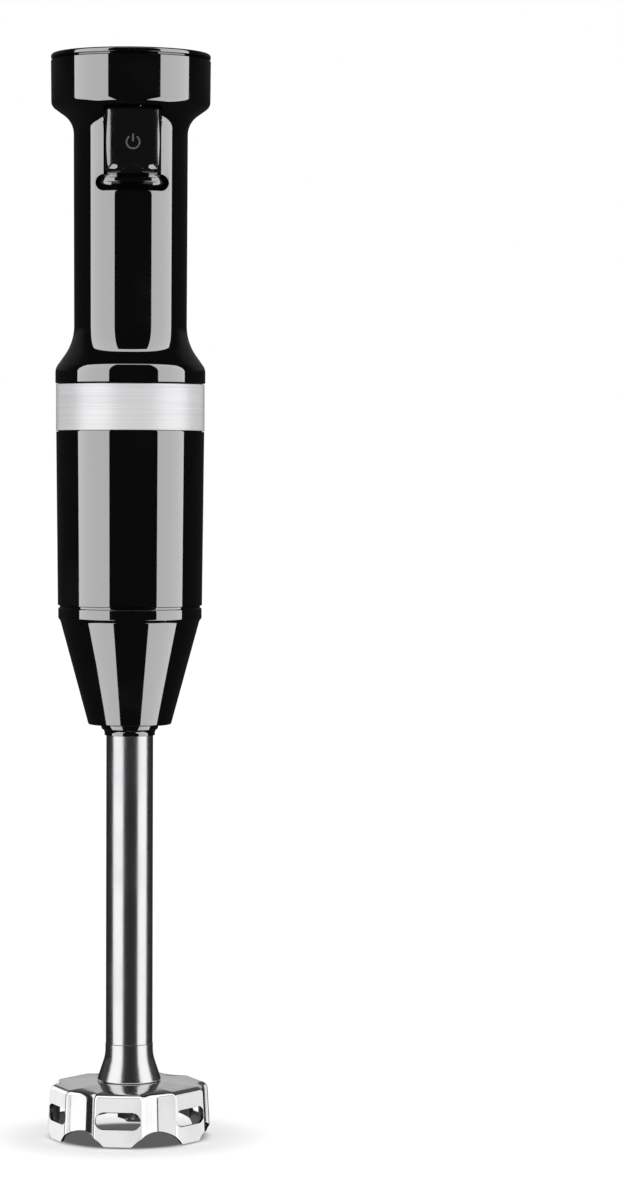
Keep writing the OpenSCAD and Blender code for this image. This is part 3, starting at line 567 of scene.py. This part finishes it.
# Base colour, handled colour, roughness and worn roughness
METALS = {
    "blade_steel": (grey(0.62, 0.01), grey(0.45, 0.01), 0.16, 0.34),
    "screw_steel": (grey(0.56, 0.01), grey(0.36, 0.01), 0.22, 0.4),
    "heatsink_aluminium": ((0.70, 0.71, 0.72), grey(0.5, 0.01), 0.3, 0.46),
    "can_steel": (grey(0.42, 0.02), grey(0.26, 0.01), 0.3, 0.5),
    "brass": ((0.72, 0.52, 0.22), (0.45, 0.30, 0.12), 0.24, 0.42),
}
# Bright and dark colour of the streaks, their roughnesses, contrast, turned sheen and depth
BRUSHED = {
    "brushed_band": (grey(0.66, 0.01), grey(0.46, 0.01), 0.26, 0.36, 1.9, 0.7, 0.002),
    "core_steel": (grey(0.34, 0.01), grey(0.16, 0.005), 0.4, 0.55, 3.0, 0.0, 0.02),
}
FINISHES = {
    "gloss_black": gloss_black(),
    "satin_steel": satin_steel(),
    "polished_steel": polished_steel(),
    "board_green": board_green(),
    "copper": wound_copper(),
}
for table, make in ((MOULDINGS, moulded), (METALS, plain_metal), (BRUSHED, satin_metal)):
    FINISHES.update({name: make(name, *values) for name, values in table.items()})

for node in frame["nodes"].values():
    for holder in node.material_slots:
        holder.material = FINISHES[holder.material.name.removeprefix("cad ")]


# ---- head, grip and collar ----
shell_edge = 0.28


def grip_outline(t):
    """Side of collar, flare, grip, shoulder and head, set in by t."""
    edge_r, hollow_r = 5, 19.4
    under_r, throat_r = 3.4, 8.9
    flare = s_slope(collar_r - grip_low_r, z_grip - z_flare, edge_r + hollow_r)
    shoulder = s_slope(head_low_r - grip_top_r, z_head - z_shoulder, under_r + throat_r)
    grip_steps = 12
    straight = [(grip_low_r - t + (grip_top_r - grip_low_r) * k / grip_steps,
                 z_grip + (z_shoulder - z_grip) * k / grip_steps) for k in range(1, grip_steps)]
    return (arc(collar_r - edge_r, z_flare, edge_r - t, 0, flare, 14)
            + arc(grip_low_r + hollow_r, z_grip, hollow_r + t, 180 + flare, 180, 18)
            + straight
            + arc(grip_top_r + throat_r, z_shoulder, throat_r + t, 180, 180 - shoulder, 16)
            + arc(head_low_r - under_r, z_head, under_r - t, -shoulder, 0, 12))


def shell_section():
    """Closed section of one grip shell: outside, rim under the cap, inside, and the skirt."""
    low_edge = 0.25
    rim_edge = 0.35
    z_shelf = z_collar + 2
    z_skirt = z_band + 0.7
    skirt_in_r = skirt_r - skirt_wall
    outside = [(collar_r - low_edge, z_collar), (collar_r, z_collar + low_edge)] + grip_outline(0)
    rim = [(head_r, z_gap - rim_edge), (head_r - rim_edge, z_gap), (head_r - shell_wall, z_gap)]
    inside = list(reversed(grip_outline(shell_wall)))
    shelf = [(collar_r - shell_wall, z_shelf), (skirt_in_r, z_shelf)]
    skirt = [(skirt_in_r, z_skirt), (skirt_r, z_skirt), (skirt_r, z_collar)]
    return outside + rim + inside + shelf + skirt


def front_shell():
    """Front half, with the trigger's window and the finger recess cut through it."""
    half = 10.85
    shell = form("grip_front", *lathe(shell_section(), start=180, sweep=180, segments=144))
    opening = [(-half, z_bar), (half, z_bar), (half, z_window), (-half, z_window)]
    window = form("window", *prism(opening, -40, -10))
    pocket = form("pocket", *prism(stadium(recess_w, recess_h, z_recess), -40, -5))
    carve(shell, [window, pocket])
    soften(shell, shell_edge, angle=58)
    return place(shell, "motor_unit", "gloss_black", "front_shell")


def rear_shell():
    """Rear half, with a round hole for the cord's grommet."""
    shell = form("grip_rear", *lathe(shell_section(), start=0, sweep=180, segments=144))
    inlet_z = (low("cord_grommet") + high("cord_grommet")) / 2
    seat_r = high("cord_grommet", 0) + 0.15
    seat = form("seat", *prism([(x, inlet_z + z) for x, z in arc(0, 0, seat_r, 0, 354, 59)], 10, 40))
    carve(shell, [seat])
    soften(shell, shell_edge, angle=58)
    return place(shell, "motor_unit", "gloss_black", "rear_shell")


def recess_tray():
    """Floor of the finger recess: a curved plate that ramps out to the recess's lower lip."""
    plate = 0.9
    past = 1.5
    half_turn = 46
    ramp_steps = 10
    ramp_h = 3.2
    lip_r = grip_top_r - 0.3
    deep_r = recess_floor_r - 0.45
    z_lower = z_recess - recess_h / 2
    section = [(deep_r - plate, z_lower - past), (lip_r, z_lower - past), (lip_r, z_lower)]
    for k in range(1, ramp_steps + 1):
        share = k / ramp_steps
        r = lip_r + (deep_r - lip_r) * math.sin(math.radians(90 * share))
        section.append((r, z_lower + ramp_h * share))
    section += [(deep_r, z_recess + 4), (deep_r - plate, z_recess + 4)]
    turned = lathe(section, start=270 - half_turn, sweep=2 * half_turn, segments=96)
    return place(form("recess_tray", *turned), "motor_unit", "gloss_black")


def recess_bar():
    """Flush bar between the trigger's window and the recess."""
    z0 = z_bar - bar_h
    back_r = recess_floor_r - 0.5
    front_r = grip_top_r - 0.05
    section = rounded([(back_r, z0, 0), (front_r, z0, 0.45), (front_r, z_bar, 0.3), (back_r, z_bar, 0)])
    half = math.degrees(math.asin(bar_w / 2 / front_r))
    bar = form("recess_bar", *lathe(section, start=270 - half, sweep=2 * half, segments=48))
    soften(bar, 0.3)
    return place(bar, "motor_unit", "gloss_black")


def top_cap():
    """Shallow dome with a rolled edge, and a plug that drops into the shells."""
    crown = 0.5
    plug_r = head_r - shell_wall - 0.15
    z_plug = z_gap - 2.5
    z_cap = z_gap + 0.6
    section = rounded([(0, z_plug, 0), (plug_r, z_plug, 0.3), (plug_r, z_cap, 0), (cap_r, z_cap, 0.3),
                       (cap_r, z_top - crown, 1.5), (cap_r * 0.55, z_top - 0.12, 6), (0, z_top, 0)], steps=7)
    return place(form("head_cap", *lathe(section, segments=240)), "motor_unit", "gloss_black", "top_cap")


# ---- trigger ----
dish_z = z_lip + 11.5
dish_r = 8.3
dish_depth = 1.4
face_r = -low("trigger", 1)
lip_h = 1.9
lip_depth = 3.2


def trigger_face(x, z):
    """How far forward the trigger's face is at x, z: a round front, a sloped lip and the thumb dish."""
    lip = max(0.0, 1 - (z - z_lip) / lip_h)
    r = face_r - lip_depth * lip
    inside = 1 - (x * x + (z - dish_z) ** 2) / dish_r ** 2
    return -math.sqrt(r * r - x * x) + dish_depth * max(0.0, inside)


def trigger():
    """A face with rings round the dish, stretched out to the trigger's outline and closed behind."""
    half = 10.45
    back = -11.9
    per_side = 24
    corners = [(half, z_lip), (half, z_trigger), (-half, z_trigger), (-half, z_lip)]
    rim = []
    for i in range(4):
        (x0, z0), (x1, z1) = corners[i], corners[(i + 1) % 4]
        rim += [(x0 + (x1 - x0) * k / per_side, z0 + (z1 - z0) * k / per_side) for k in range(per_side)]
    rings = []
    for share in (0.12, 0.3, 0.5, 0.7, 0.86, 0.96, 1.0):
        rings.append([(Vector((x, z - dish_z)).normalized() * dish_r * share) for x, z in rim])
    dish_edge = rings[-1]
    for share in (0.06, 0.25, 0.406, 0.6, 0.8, 1.0):
        rings.append([edge.lerp(Vector((x, z - dish_z)), share) for edge, (x, z) in zip(dish_edge, rim)])
    count = len(rim)
    verts = [(0, trigger_face(0, dish_z), dish_z)]
    for ring in rings:
        verts += [(p.x, trigger_face(p.x, p.y + dish_z), p.y + dish_z) for p in ring]
    verts += [(x, back, z) for x, z in rim]
    faces = [(0, 1 + k, 1 + (k + 1) % count) for k in range(count)]
    for level in range(len(rings)):
        a, b = 1 + level * count, 1 + (level + 1) * count
        faces += [(a + k, b + k, b + (k + 1) % count, a + (k + 1) % count) for k in range(count)]
    last = 1 + len(rings) * count
    faces.append(tuple(last + k for k in range(count)))
    body = form("trigger_body", verts, faces)
    soften(body, 1.1, angle=48, segments=1)
    return place(body, "trigger", "satin_black", "trigger", crease=15)


def ribbon(path, width):
    """A flat mark along a path of (x, z) points on the trigger's dish, part proud and part sunk."""
    proud = 0.12
    sunk = 0.25
    verts = []
    for i, here in enumerate(path):
        before = Vector(path[max(i - 1, 0)])
        after = Vector(path[min(i + 1, len(path) - 1)])
        side = (after - before).normalized().orthogonal() * width / 2
        for s in (-1, 1):
            x, z = here[0] + s * side.x, here[1] + s * side.y
            face = trigger_face(x, z)
            verts += [(x, face - proud, z), (x, face + sunk, z)]
    faces = [(0, 2, 3, 1)]
    for i in range(len(path) - 1):
        a, b = 4 * i, 4 * i + 4
        faces += [(a, b, b + 2, a + 2), (a + 1, a + 3, b + 3, b + 1)]
        faces += [(a, a + 1, b + 1, b), (a + 2, b + 2, b + 3, a + 3)]
    last = 4 * len(path) - 4
    faces.append((last, last + 1, last + 3, last + 2))
    return verts, faces


def power_mark():
    """Open circle with a bar, inlaid in the dish."""
    stroke = 0.62
    ring_r = 2.45
    bar_foot = 0.2
    bar_len = 2.9
    circle = [(x, dish_z + z) for x, z in arc(0, 0, ring_r, 125, 415, 48)]
    bar = [(0, dish_z + bar_foot + bar_len * k / 6) for k in range(7)]
    for name, path in (("power_ring", circle), ("power_bar", bar)):
        mark = form(name, *ribbon(path, stroke))
        place(mark, "trigger", MARK_FINISH)


# ---- motor body, band, cone and collar ----
def trim_band():
    """Plain steel band with softened edges."""
    inner = band_r - 0.8
    edge = 0.35
    section = rounded([(inner, z_band, 0), (band_r, z_band, edge), (band_r, z_band_top, edge),
                       (inner, z_band_top, 0)])
    return place(form("steel_band", *lathe(section, segments=240)), "motor_unit", "brushed_band", "trim_band")


def arm_cone():
    """Hollow cone with a straight nose ring above it and a step that the motor body meets."""
    low_r = 15.9
    top_r = 26.7
    nose_r = high("arm_cone", 0)
    step_r = nose_r - 0.6
    seat_r = nose_r - 2.4
    foot_r = low_r - 4
    wall = 2
    z_seat = z_body - 0.1
    section = rounded([
        (foot_r, z_cone, 0), (low_r, z_cone, 0.7), (top_r, z_nose, 0.8), (nose_r, z_nose + 1.2, 0.5),
        (nose_r, z_joint, 0.35), (step_r, z_joint, 0.15), (step_r, z_seat, 0.2), (seat_r, z_seat, 0),
        (seat_r, z_joint - 4.5, 0), (top_r - wall, z_nose, 0), (low_r - wall, z_cone + wall, 0),
        (foot_r, z_cone + wall, 0)], steps=5)
    return place(form("cone_shell", *lathe(section, segments=240)), "arm", "gloss_black", "arm_cone")


def tip_collar():
    """Collar that hollows out from the tube to the cone's small end."""
    bore = tube_r + 0.05
    foot_r = tube_r + 0.7
    tip_r = 11.05
    bend_x = tip_r + 0.3
    z_end = z_cone - 0.02
    section = ([(bore, z_tip), (foot_r - 0.15, z_tip), (foot_r, z_tip + 0.15)]
               + arc(bend_x, z_tip + 0.9, bend_x - foot_r, 180, 110, 10)
               + [(tip_r, z_cone - 0.6), (tip_r, z_end), (bore, z_end)])
    return place(form("tip_ring", *lathe(section, segments=160)), "arm", "gloss_black", "tip_collar")


def shaft_tube():
    """Plain tube, with its ends slightly rounded."""
    inner = tube_r - 1
    top = high("shaft_tube")
    section = rounded([(inner, z_tube, 0), (tube_r, z_tube, 0.12), (tube_r, z_tip - 1, 0), (tube_r, top, 0.3),
                       (inner, top, 0)])
    return place(form("tube", *lathe(section, segments=160)), "arm", "satin_steel", "shaft_tube")


def bell_neck():
    """Flared neck, with a small roll where it meets the bell's roof."""
    neck_r = high("bell_neck", 0)
    top_r = tube_r + 0.15
    top_edge = 0.12
    roll_r = 0.45
    bend_r = 16
    bore = 4.6
    foot_bore = 8.9
    socket_r = tube_r - 1.05
    z_straight = z_tube - 2
    z_socket = z_tube + 7
    z_foot = z_roof - 3.6
    slope = s_slope(neck_r - top_r, z_straight - z_roof, bend_r)
    outside = (arc(neck_r - roll_r, z_roof + roll_r, roll_r, -60, 20, 5)
               + arc(top_r + bend_r, z_straight, bend_r, 180 + slope - 2, 180, 20)
               + [(top_r, z_tube - top_edge), (top_r - top_edge, z_tube)])
    inside = [(socket_r, z_tube), (socket_r, z_socket), (bore, z_socket), (bore, z_foot),
              (foot_bore, z_foot), (foot_bore, z_roof - 0.1)]
    return place(form("neck", *lathe(outside + inside, segments=160)), "arm", "satin_steel", "bell_neck")


# ---- bell ----
bell_turn = -10
foot_r = 30.2
flute_at = 42.34
flute_r = 13.56
lean = 1 / 20.2
sheet = 1.2
bell_shoulder_r = 2.8
bell_hole_r = 9.2
roof_flat_r = 12.25
z_edge = z_roof - 1.2
slot_w, slot_h, slot_z = 17.5, 6.4, 9.9


def bell_wall(turn, z, inset):
    """Distance from the axis to the bell's wall, at a turn from a facet's middle, set in by inset."""
    from_facet = (turn + 30) % 60 - 30
    from_flute = math.radians(30 - abs(from_facet))
    leaned = lean * z
    facet = (foot_r - leaned - inset) / math.cos(math.radians(from_facet))
    centre, radius = flute_at - leaned, flute_r + inset
    under = radius ** 2 - (centre * math.sin(from_flute)) ** 2
    if under <= 0:
        return facet
    flute = centre * math.cos(from_flute) - math.sqrt(under)
    blend_over = 0.55
    h = max(blend_over - abs(facet - flute), 0) / blend_over
    return min(facet, flute) - h * h * blend_over / 4


def arch_height(turn):
    """Height of the bell's lower edge: level at the feet, arched under each flute."""
    arch_r, arch_low = 12.77, -7.27
    from_facet = (turn + 30) % 60 - 30
    across = bell_wall(turn, 0, 0) * math.sin(math.radians(30 - abs(from_facet)))
    if across >= arch_r:
        return 0.0
    arch = arch_low + math.sqrt(arch_r ** 2 - across ** 2)
    soft = 0.5
    h = max(soft - abs(arch), 0) / soft
    return max(arch, 0) + h * h * soft / 4


def bell_line(turn, inset):
    """One line of the bell, from its lower edge up the wall, over the shoulder and along the roof."""
    bend = bell_shoulder_r - inset
    z_bend = z_edge - bell_shoulder_r
    z_low = arch_height(turn)
    points = []
    for share in (0, 0.03, 0.1, 0.2, 0.3, 0.4, 0.5, 0.6, 0.7, 0.8, 0.9, 1):
        z = z_low + (z_bend - z_low) * share
        points.append((bell_wall(turn, z, inset), z))
    outer = bell_wall(turn, z_bend, inset)
    roof_tilt = math.degrees(math.atan2(z_roof - z_edge, outer - roof_flat_r))
    points += arc(outer - bend, z_bend, bend, 12, 90 - roof_tilt, 6)
    edge_r, edge_z = points[-1]
    roof_z = z_roof - inset
    for share in (0.25, 0.5, 0.75, 0.92, 1):
        rise = min(1, share * 1.15)
        points.append((edge_r + (bell_hole_r - edge_r) * share, edge_z + (roof_z - edge_z) * rise))
    return points


def bell():
    """Lines outside and inside the sheet, all the way round, with a slot cut in each facet."""
    columns = 360
    verts = []
    faces = []
    for i in range(columns):
        turn = 360 * i / columns
        line = bell_line(turn, 0) + list(reversed(bell_line(turn, sheet)))
        a = math.radians(bell_turn + turn)
        verts += [(r * math.sin(a), -r * math.cos(a), z) for r, z in line]
    count = len(verts) // columns
    for i in range(columns):
        for j in range(count):
            k = (j + 1) % count
            here, there = i * count, ((i + 1) % columns) * count
            faces.append((here + j, here + k, there + k, there + j))
    guard = form("bell_guard", verts, faces)
    slots = []
    for k in range(6):
        turn = Matrix.Rotation(math.radians(bell_turn + 60 * k), 3, "Z")
        slots.append(form("slot", *prism(stadium(slot_w, slot_h, slot_z), -36, -24), turn=turn))
    carve(guard, slots)
    soften(guard, 0.16, angle=60)
    return place(guard, "arm", "polished_steel", "bell", crease=38)


# ---- blade ----
wing_t = 1.2
wing_z = 10.6


def wing_rows(half_len, steps):
    """Places along a wing as (x, front, rear). The front edge tapers and the tip is round."""
    half_w = 4.25
    root_x = 1.5
    tip_from, tip_share = 0.72, 0.28
    rows = []
    for i in range(steps + 1):
        s = i / steps
        narrow = math.sqrt(max(0.0, 1 - max(0.0, (s - tip_from) / tip_share) ** 2))
        front = half_w * narrow * (1 - 0.35 * s * s)
        rows.append((root_x + (half_len - 1.6) * s, front + 0.02, -half_w * narrow - 0.02))
    return rows


def wing(half_len):
    """Vertices and faces of one flat wing along X, ground thin along its front edge."""
    across, along = 12, 20
    ground_w = 2.2
    edge_share = 0.12
    verts = []
    faces = []
    for x, front, rear in wing_rows(half_len, along):
        for k in range(across + 1):
            y = rear + (front - rear) * (k / across)
            half_t = wing_t / 2 * min(1.0, (front - y) / ground_w + edge_share)
            verts += [(x, y, wing_t / 2 + half_t), (x, y, wing_t / 2 - half_t)]
    step = 2 * (across + 1)
    for i in range(along):
        for k in range(across):
            a = i * step + 2 * k
            b = a + step
            faces += [(a, b, b + 2, a + 2), (a + 1, a + 3, b + 3, b + 1)]
        for k in (0, across):
            a = i * step + 2 * k
            faces.append((a, a + 1, a + step + 1, a + step))
    for i in (0, along):
        for k in range(across):
            a = i * step + 2 * k
            faces.append((a, a + 2, a + 3, a + 1))
    return verts, faces


def blade_hub():
    """Round hub that the wings join, with a raised land for the nut."""
    bore_r, land_r = 2.55, 3.6
    hub_r = high("blade", 1)
    z_foot = low("blade") + 3.5
    z_land = high("blade") - 1.2
    z_end = wing_z + 5
    section = rounded([(bore_r, z_foot, 0), (hub_r, z_foot, 0.4), (hub_r, wing_z + 3.4, 0.6),
                       (land_r, z_land, 0.5), (land_r, z_end, 0.3), (bore_r, z_end, 0)])
    hub = form("blade_hub", *lathe(section, segments=64))
    return place(hub, "blade_shaft", "blade_steel")


def blade_wings():
    """Two opposite wings, one bent up and one bent down by the same angle."""
    flat_verts, flat_faces = wing(high("blade", 0))
    verts = []
    faces = []
    for bend, turn in ((13, 0), (-13, 180)):
        base = len(verts)
        tilt = Matrix.Rotation(math.radians(-bend), 3, "Y")
        spin = Matrix.Rotation(math.radians(turn), 3, "Z")
        verts += [tuple(spin @ (tilt @ Vector(v)) + Vector((0, 0, wing_z))) for v in flat_verts]
        faces += [tuple(base + n for n in face) for face in flat_faces]
    wings = form("blade_wings", verts, faces)
    return place(wings, "blade_shaft", "blade_steel", "blade", crease=25)


# ---- cord inlet ----
def cord_grommet():
    """Ribbed rubber ring round the cord inlet."""
    y_in, y_out = low("cord_grommet", 1), high("cord_grommet", 1)
    z = (low("cord_grommet") + high("cord_grommet")) / 2
    flange_r = high("cord_grommet", 0)
    bore_r, body_r = 3.7, 5.6
    y_flange = y_out - 1.8
    y_groove = y_out - 0.5
    section = rounded([
        (bore_r, y_in, 0), (body_r, y_in, 0.3), (body_r, y_flange, 0), (flange_r, y_flange, 0.2),
        (flange_r, y_out - 0.4, 0.5), (body_r, y_out, 0.4), (5.2, y_groove, 0.2), (4.7, y_groove, 0.2),
        (4.4, y_out, 0.2), (bore_r, y_out, 0.3)])
    upright = Matrix.Rotation(math.radians(-90), 3, "X")
    verts, faces = lathe(section, segments=96)
    verts = [tuple(upright @ Vector(v) + Vector((0, 0, z))) for v in verts]
    return place(form("cord_ring", verts, faces), "motor_unit", "soft_black", "cord_grommet")


front_shell()
rear_shell()
recess_tray()
recess_bar()
top_cap()
trigger()
power_mark()
trim_band()
arm_cone()
tip_collar()
shaft_tube()
bell_neck()
bell()
blade_wings()
blade_hub()
cord_grommet()


# ---- floor, light and camera ----
camera_side = -1.8
camera_far = 1.508
camera_height = 0.2597


def bearing(turn, far, height):
    """A place at a turn from the camera's side of the blender, positive to the camera's right."""
    a = math.radians(-90 + camera_side + turn)
    return Vector((far * math.cos(a), far * math.sin(a), height))


def camera():
    """Long lens, turned, tipped and rolled a little from the level."""
    data = bpy.data.cameras.new("camera")
    data.lens = 117.7
    data.sensor_width = 36
    data.clip_start = 0.05
    eye = bpy.data.objects.new("camera", data)
    bpy.context.scene.collection.objects.link(eye)
    eye.location = bearing(0, camera_far, camera_height)
    heading, pitch, roll = math.radians(4.46), math.radians(2.0), math.radians(0.2)
    eye.rotation_euler = (Matrix.Rotation(-heading, 3, "Z") @ Matrix.Rotation(math.pi / 2 - pitch, 3, "X")
                          @ Matrix.Rotation(roll, 3, "Z")).to_euler()
    bpy.context.scene.camera = eye


def panel(name, spot, turn, width, height, radiance, only, down=90):
    """A soft flat light on some of the pieces. It faces the blender's axis from a turn, or down."""
    data = bpy.data.lights.new(name, "AREA")
    data.shape = "RECTANGLE"
    data.size = width
    data.size_y = height
    data.energy = radiance * math.pi * width * height
    light = bpy.data.objects.new(name, data)
    bpy.context.scene.collection.objects.link(light)
    light.location = spot
    light.rotation_euler = (math.radians(down), 0, math.radians(camera_side + turn))
    light.visible_camera = False
    light.light_linking.receiver_collection = only


def gather(name, *slots, leave_out=False):
    """A collection of the pieces with certain finishes, or of all but them, which a light can be kept to."""
    group = bpy.data.collections.new(name)
    wanted = [FINISHES[slot] for slot in slots]
    for obj in bpy.context.scene.objects:
        if obj.type == "MESH" and any(m in wanted for m in obj.data.materials) != leave_out:
            group.objects.link(obj)
    return group


def softbox(black):
    """An arch of even light round the blender: two tall strips that a high band joins."""
    far, columns, grip_height = 1.35, 24, 0.3
    left_out, left_in, right_in, right_out = -88, -32.5, 42.7, 91
    sill, crown = 60.5, 66.6
    droop = 0.75

    def up(turn, degrees):
        """Height of the arch's edge at a turn, lower towards the sides."""
        return grip_height + far * math.tan(math.radians(degrees)) * math.cos(math.radians(droop * turn))

    def spread(first, last):
        """Turns from the first to the last in even steps."""
        return [first + (last - first) * (k / columns) for k in range(columns + 1)]

    # Each strip has rows at a height, from one turn to another, and edges at an angle of elevation
    left = [(-1.7, -72, -30), (-0.6, -76, -30), (0.05, left_out, left_in), (0.9, left_out, left_in)]
    right = [(-1.7, 33, 88), (-0.6, 34, 88), (0.05, right_in, right_out), (0.9, right_in, right_out)]
    strips = ((left, left_out, left_in, [crown]), (right, right_in, right_out, [crown]),
              ([], left_in, right_in, [sill, crown]))
    verts = []
    faces = []
    for rows, first, last, edges in strips:
        base = len(verts)
        for z, row_first, row_last in rows:
            verts += [bearing(turn, far, z) / MM for turn in spread(row_first, row_last)]
        for degrees in edges:
            verts += [bearing(turn, far, up(turn, degrees)) / MM for turn in spread(first, last)]
        for row in range(len(rows) + len(edges) - 1):
            for k in range(columns):
                here = base + row * (columns + 1) + k
                faces.append((here, here + 1, here + columns + 2, here + columns + 1))
    arch = form("softbox", verts, faces)
    material, tree, shader = finish("softbox glow", Roughness=1.0, Specular_IOR_Level=0.0)
    shader.inputs["Base Color"].default_value = (0, 0, 0, 1)
    shader.inputs["Emission Strength"].default_value = 10.6
    cloth = cloud(tree, spots(tree), 2.0)
    feed(tree, shader, Emission_Color=blend(tree, cloth, grey(0.97), grey(1)))
    arch.data.materials.append(material)
    arch.visible_camera = False
    arch.visible_shadow = False
    arch.light_linking.receiver_collection = black


def lights():
    """The arch lights the black pieces. Flat panels and cards light the steel."""
    blacks = ("gloss_black", "satin_black", "soft_black", MARK_FINISH)
    black = gather("black pieces", *blacks)
    rest = gather("other pieces", *blacks, "blade_steel", leave_out=True)
    softbox(black)
    low_z, high_z, far = -0.8, 2.05, 1.2
    mid_z = (low_z + high_z) / 2
    for name, turn, half in (("left", -59.5, 28.5), ("right", 67.5, 25.5)):
        width = 2 * far * math.tan(math.radians(half))
        panel(name + " panel", bearing(turn, far, mid_z), turn, width, high_z - low_z, 1.6, rest)
    panel("top panel", bearing(0, 0.74, 1.9), 0, 2.1, 0.44, 1.5, rest, down=0)
    band = gather("band", "brushed_band")
    panel("front card", bearing(0, 1.7, 0.3), 0, 3.0, 1.6, 1.05, band)
    for name, turn in (("left card", -105), ("right card", 105)):
        panel(name, bearing(turn, 1.3, 0.3), turn, 2.6, 1.6, 0.9, band)
    bell_set = gather("bell pieces", "polished_steel")
    cards = (("left bell card", -136, 0.6, 1.25), ("right bell card", 106, 0.6, 1.3))
    for name, turn, width, radiance in cards:
        panel(name, bearing(turn, 1.1, 0.1), turn, width, 1.2, radiance, bell_set)
    panel("front bell card", bearing(4, 1.3, 0.25), 4, 1.75, 1.6, 1.2, bell_set)
    panel("top bell card", bearing(0, 0.9, 1.3), 0, 2.4, 1.7, 0.9, bell_set, down=0)
    panel("back bell card", bearing(180, 1.4, 0.28), 180, 2.4, 0.56, 0.46, bell_set)
    panel("blade card", bearing(0, 1.3, 0.1), 0, 1.4, 1.0, 0.4, gather("blade pieces", "blade_steel"))


def floor():
    """Pale ground that glows, with a painted shadow in its glow: darker close to the bell's foot and darkest
    under it.
    """
    side = 12 / MM
    level = -0.5
    corners = [(-side, -side, level), (side, -side, level), (side, side, level), (-side, side, level)]
    slab = form("floor", corners, [(0, 1, 2, 3)])
    material, tree, shader = finish("pale floor", Roughness=0.9, Specular_IOR_Level=0.0)
    shader.inputs["Emission Strength"].default_value = 1.0
    at = spots(tree)
    away = add(tree, "VectorMath", {0: at}, operation="LENGTH").outputs["Value"]
    # Painted shadow: the glow is dim under the bell, climbs at its foot, and rises a little more farther out.
    under = remap(tree, away, 0.026, 0.033, 0.1, 0.72, smooth=True)
    painted_shadow_near = remap(tree, away, 0.031, 0.06, 0, 0.24, smooth=True)
    painted_shadow_wide = remap(tree, away, 0.06, 0.4, 0, 0.04)
    glow = maths(tree, "ADD", maths(tree, "ADD", under, painted_shadow_near), painted_shadow_wide)
    feed(tree, shader, Emission_Color=blend(tree, glow, grey(0), grey(1)))
    feed(tree, shader, Base_Color=blend(tree, cloud(tree, at, 3.0), grey(0.84), grey(0.88)))
    slab.data.materials.append(material)
    slab.visible_glossy = False
    slab.visible_shadow = False


def backdrop():
    """White to the eye, and a dim room to the pieces that mirror it."""
    world = bpy.data.worlds.new("studio")
    bpy.context.scene.world = world
    world.use_nodes = True
    tree = world.node_tree
    shine = tree.nodes["Background"]
    shine.inputs["Color"].default_value = (1, 1, 1, 1)
    to = add(tree, "TexCoord").outputs["Generated"]
    parts = add(tree, "SeparateXYZ", {"Vector": to}).outputs
    behind = remap(tree, parts["Y"], 0.2, 0.6, 0, 1, smooth=True)
    raised = remap(tree, parts["Z"], 0.06, 0.16, 0, 1, smooth=True)
    glow = maths(tree, "MULTIPLY", behind, raised)
    room = remap(tree, glow, 0, 1, 0.03, 0.12)
    seen = add(tree, "LightPath").outputs["Is Camera Ray"]
    level = add(tree, "Mix", {"Factor": seen, 2: room, 3: 1.0}, data_type="FLOAT").outputs[0]
    tree.links.new(level, shine.inputs["Strength"])


camera()
lights()
floor()
backdrop()
bpy.context.scene.view_settings.view_transform = "Standard"
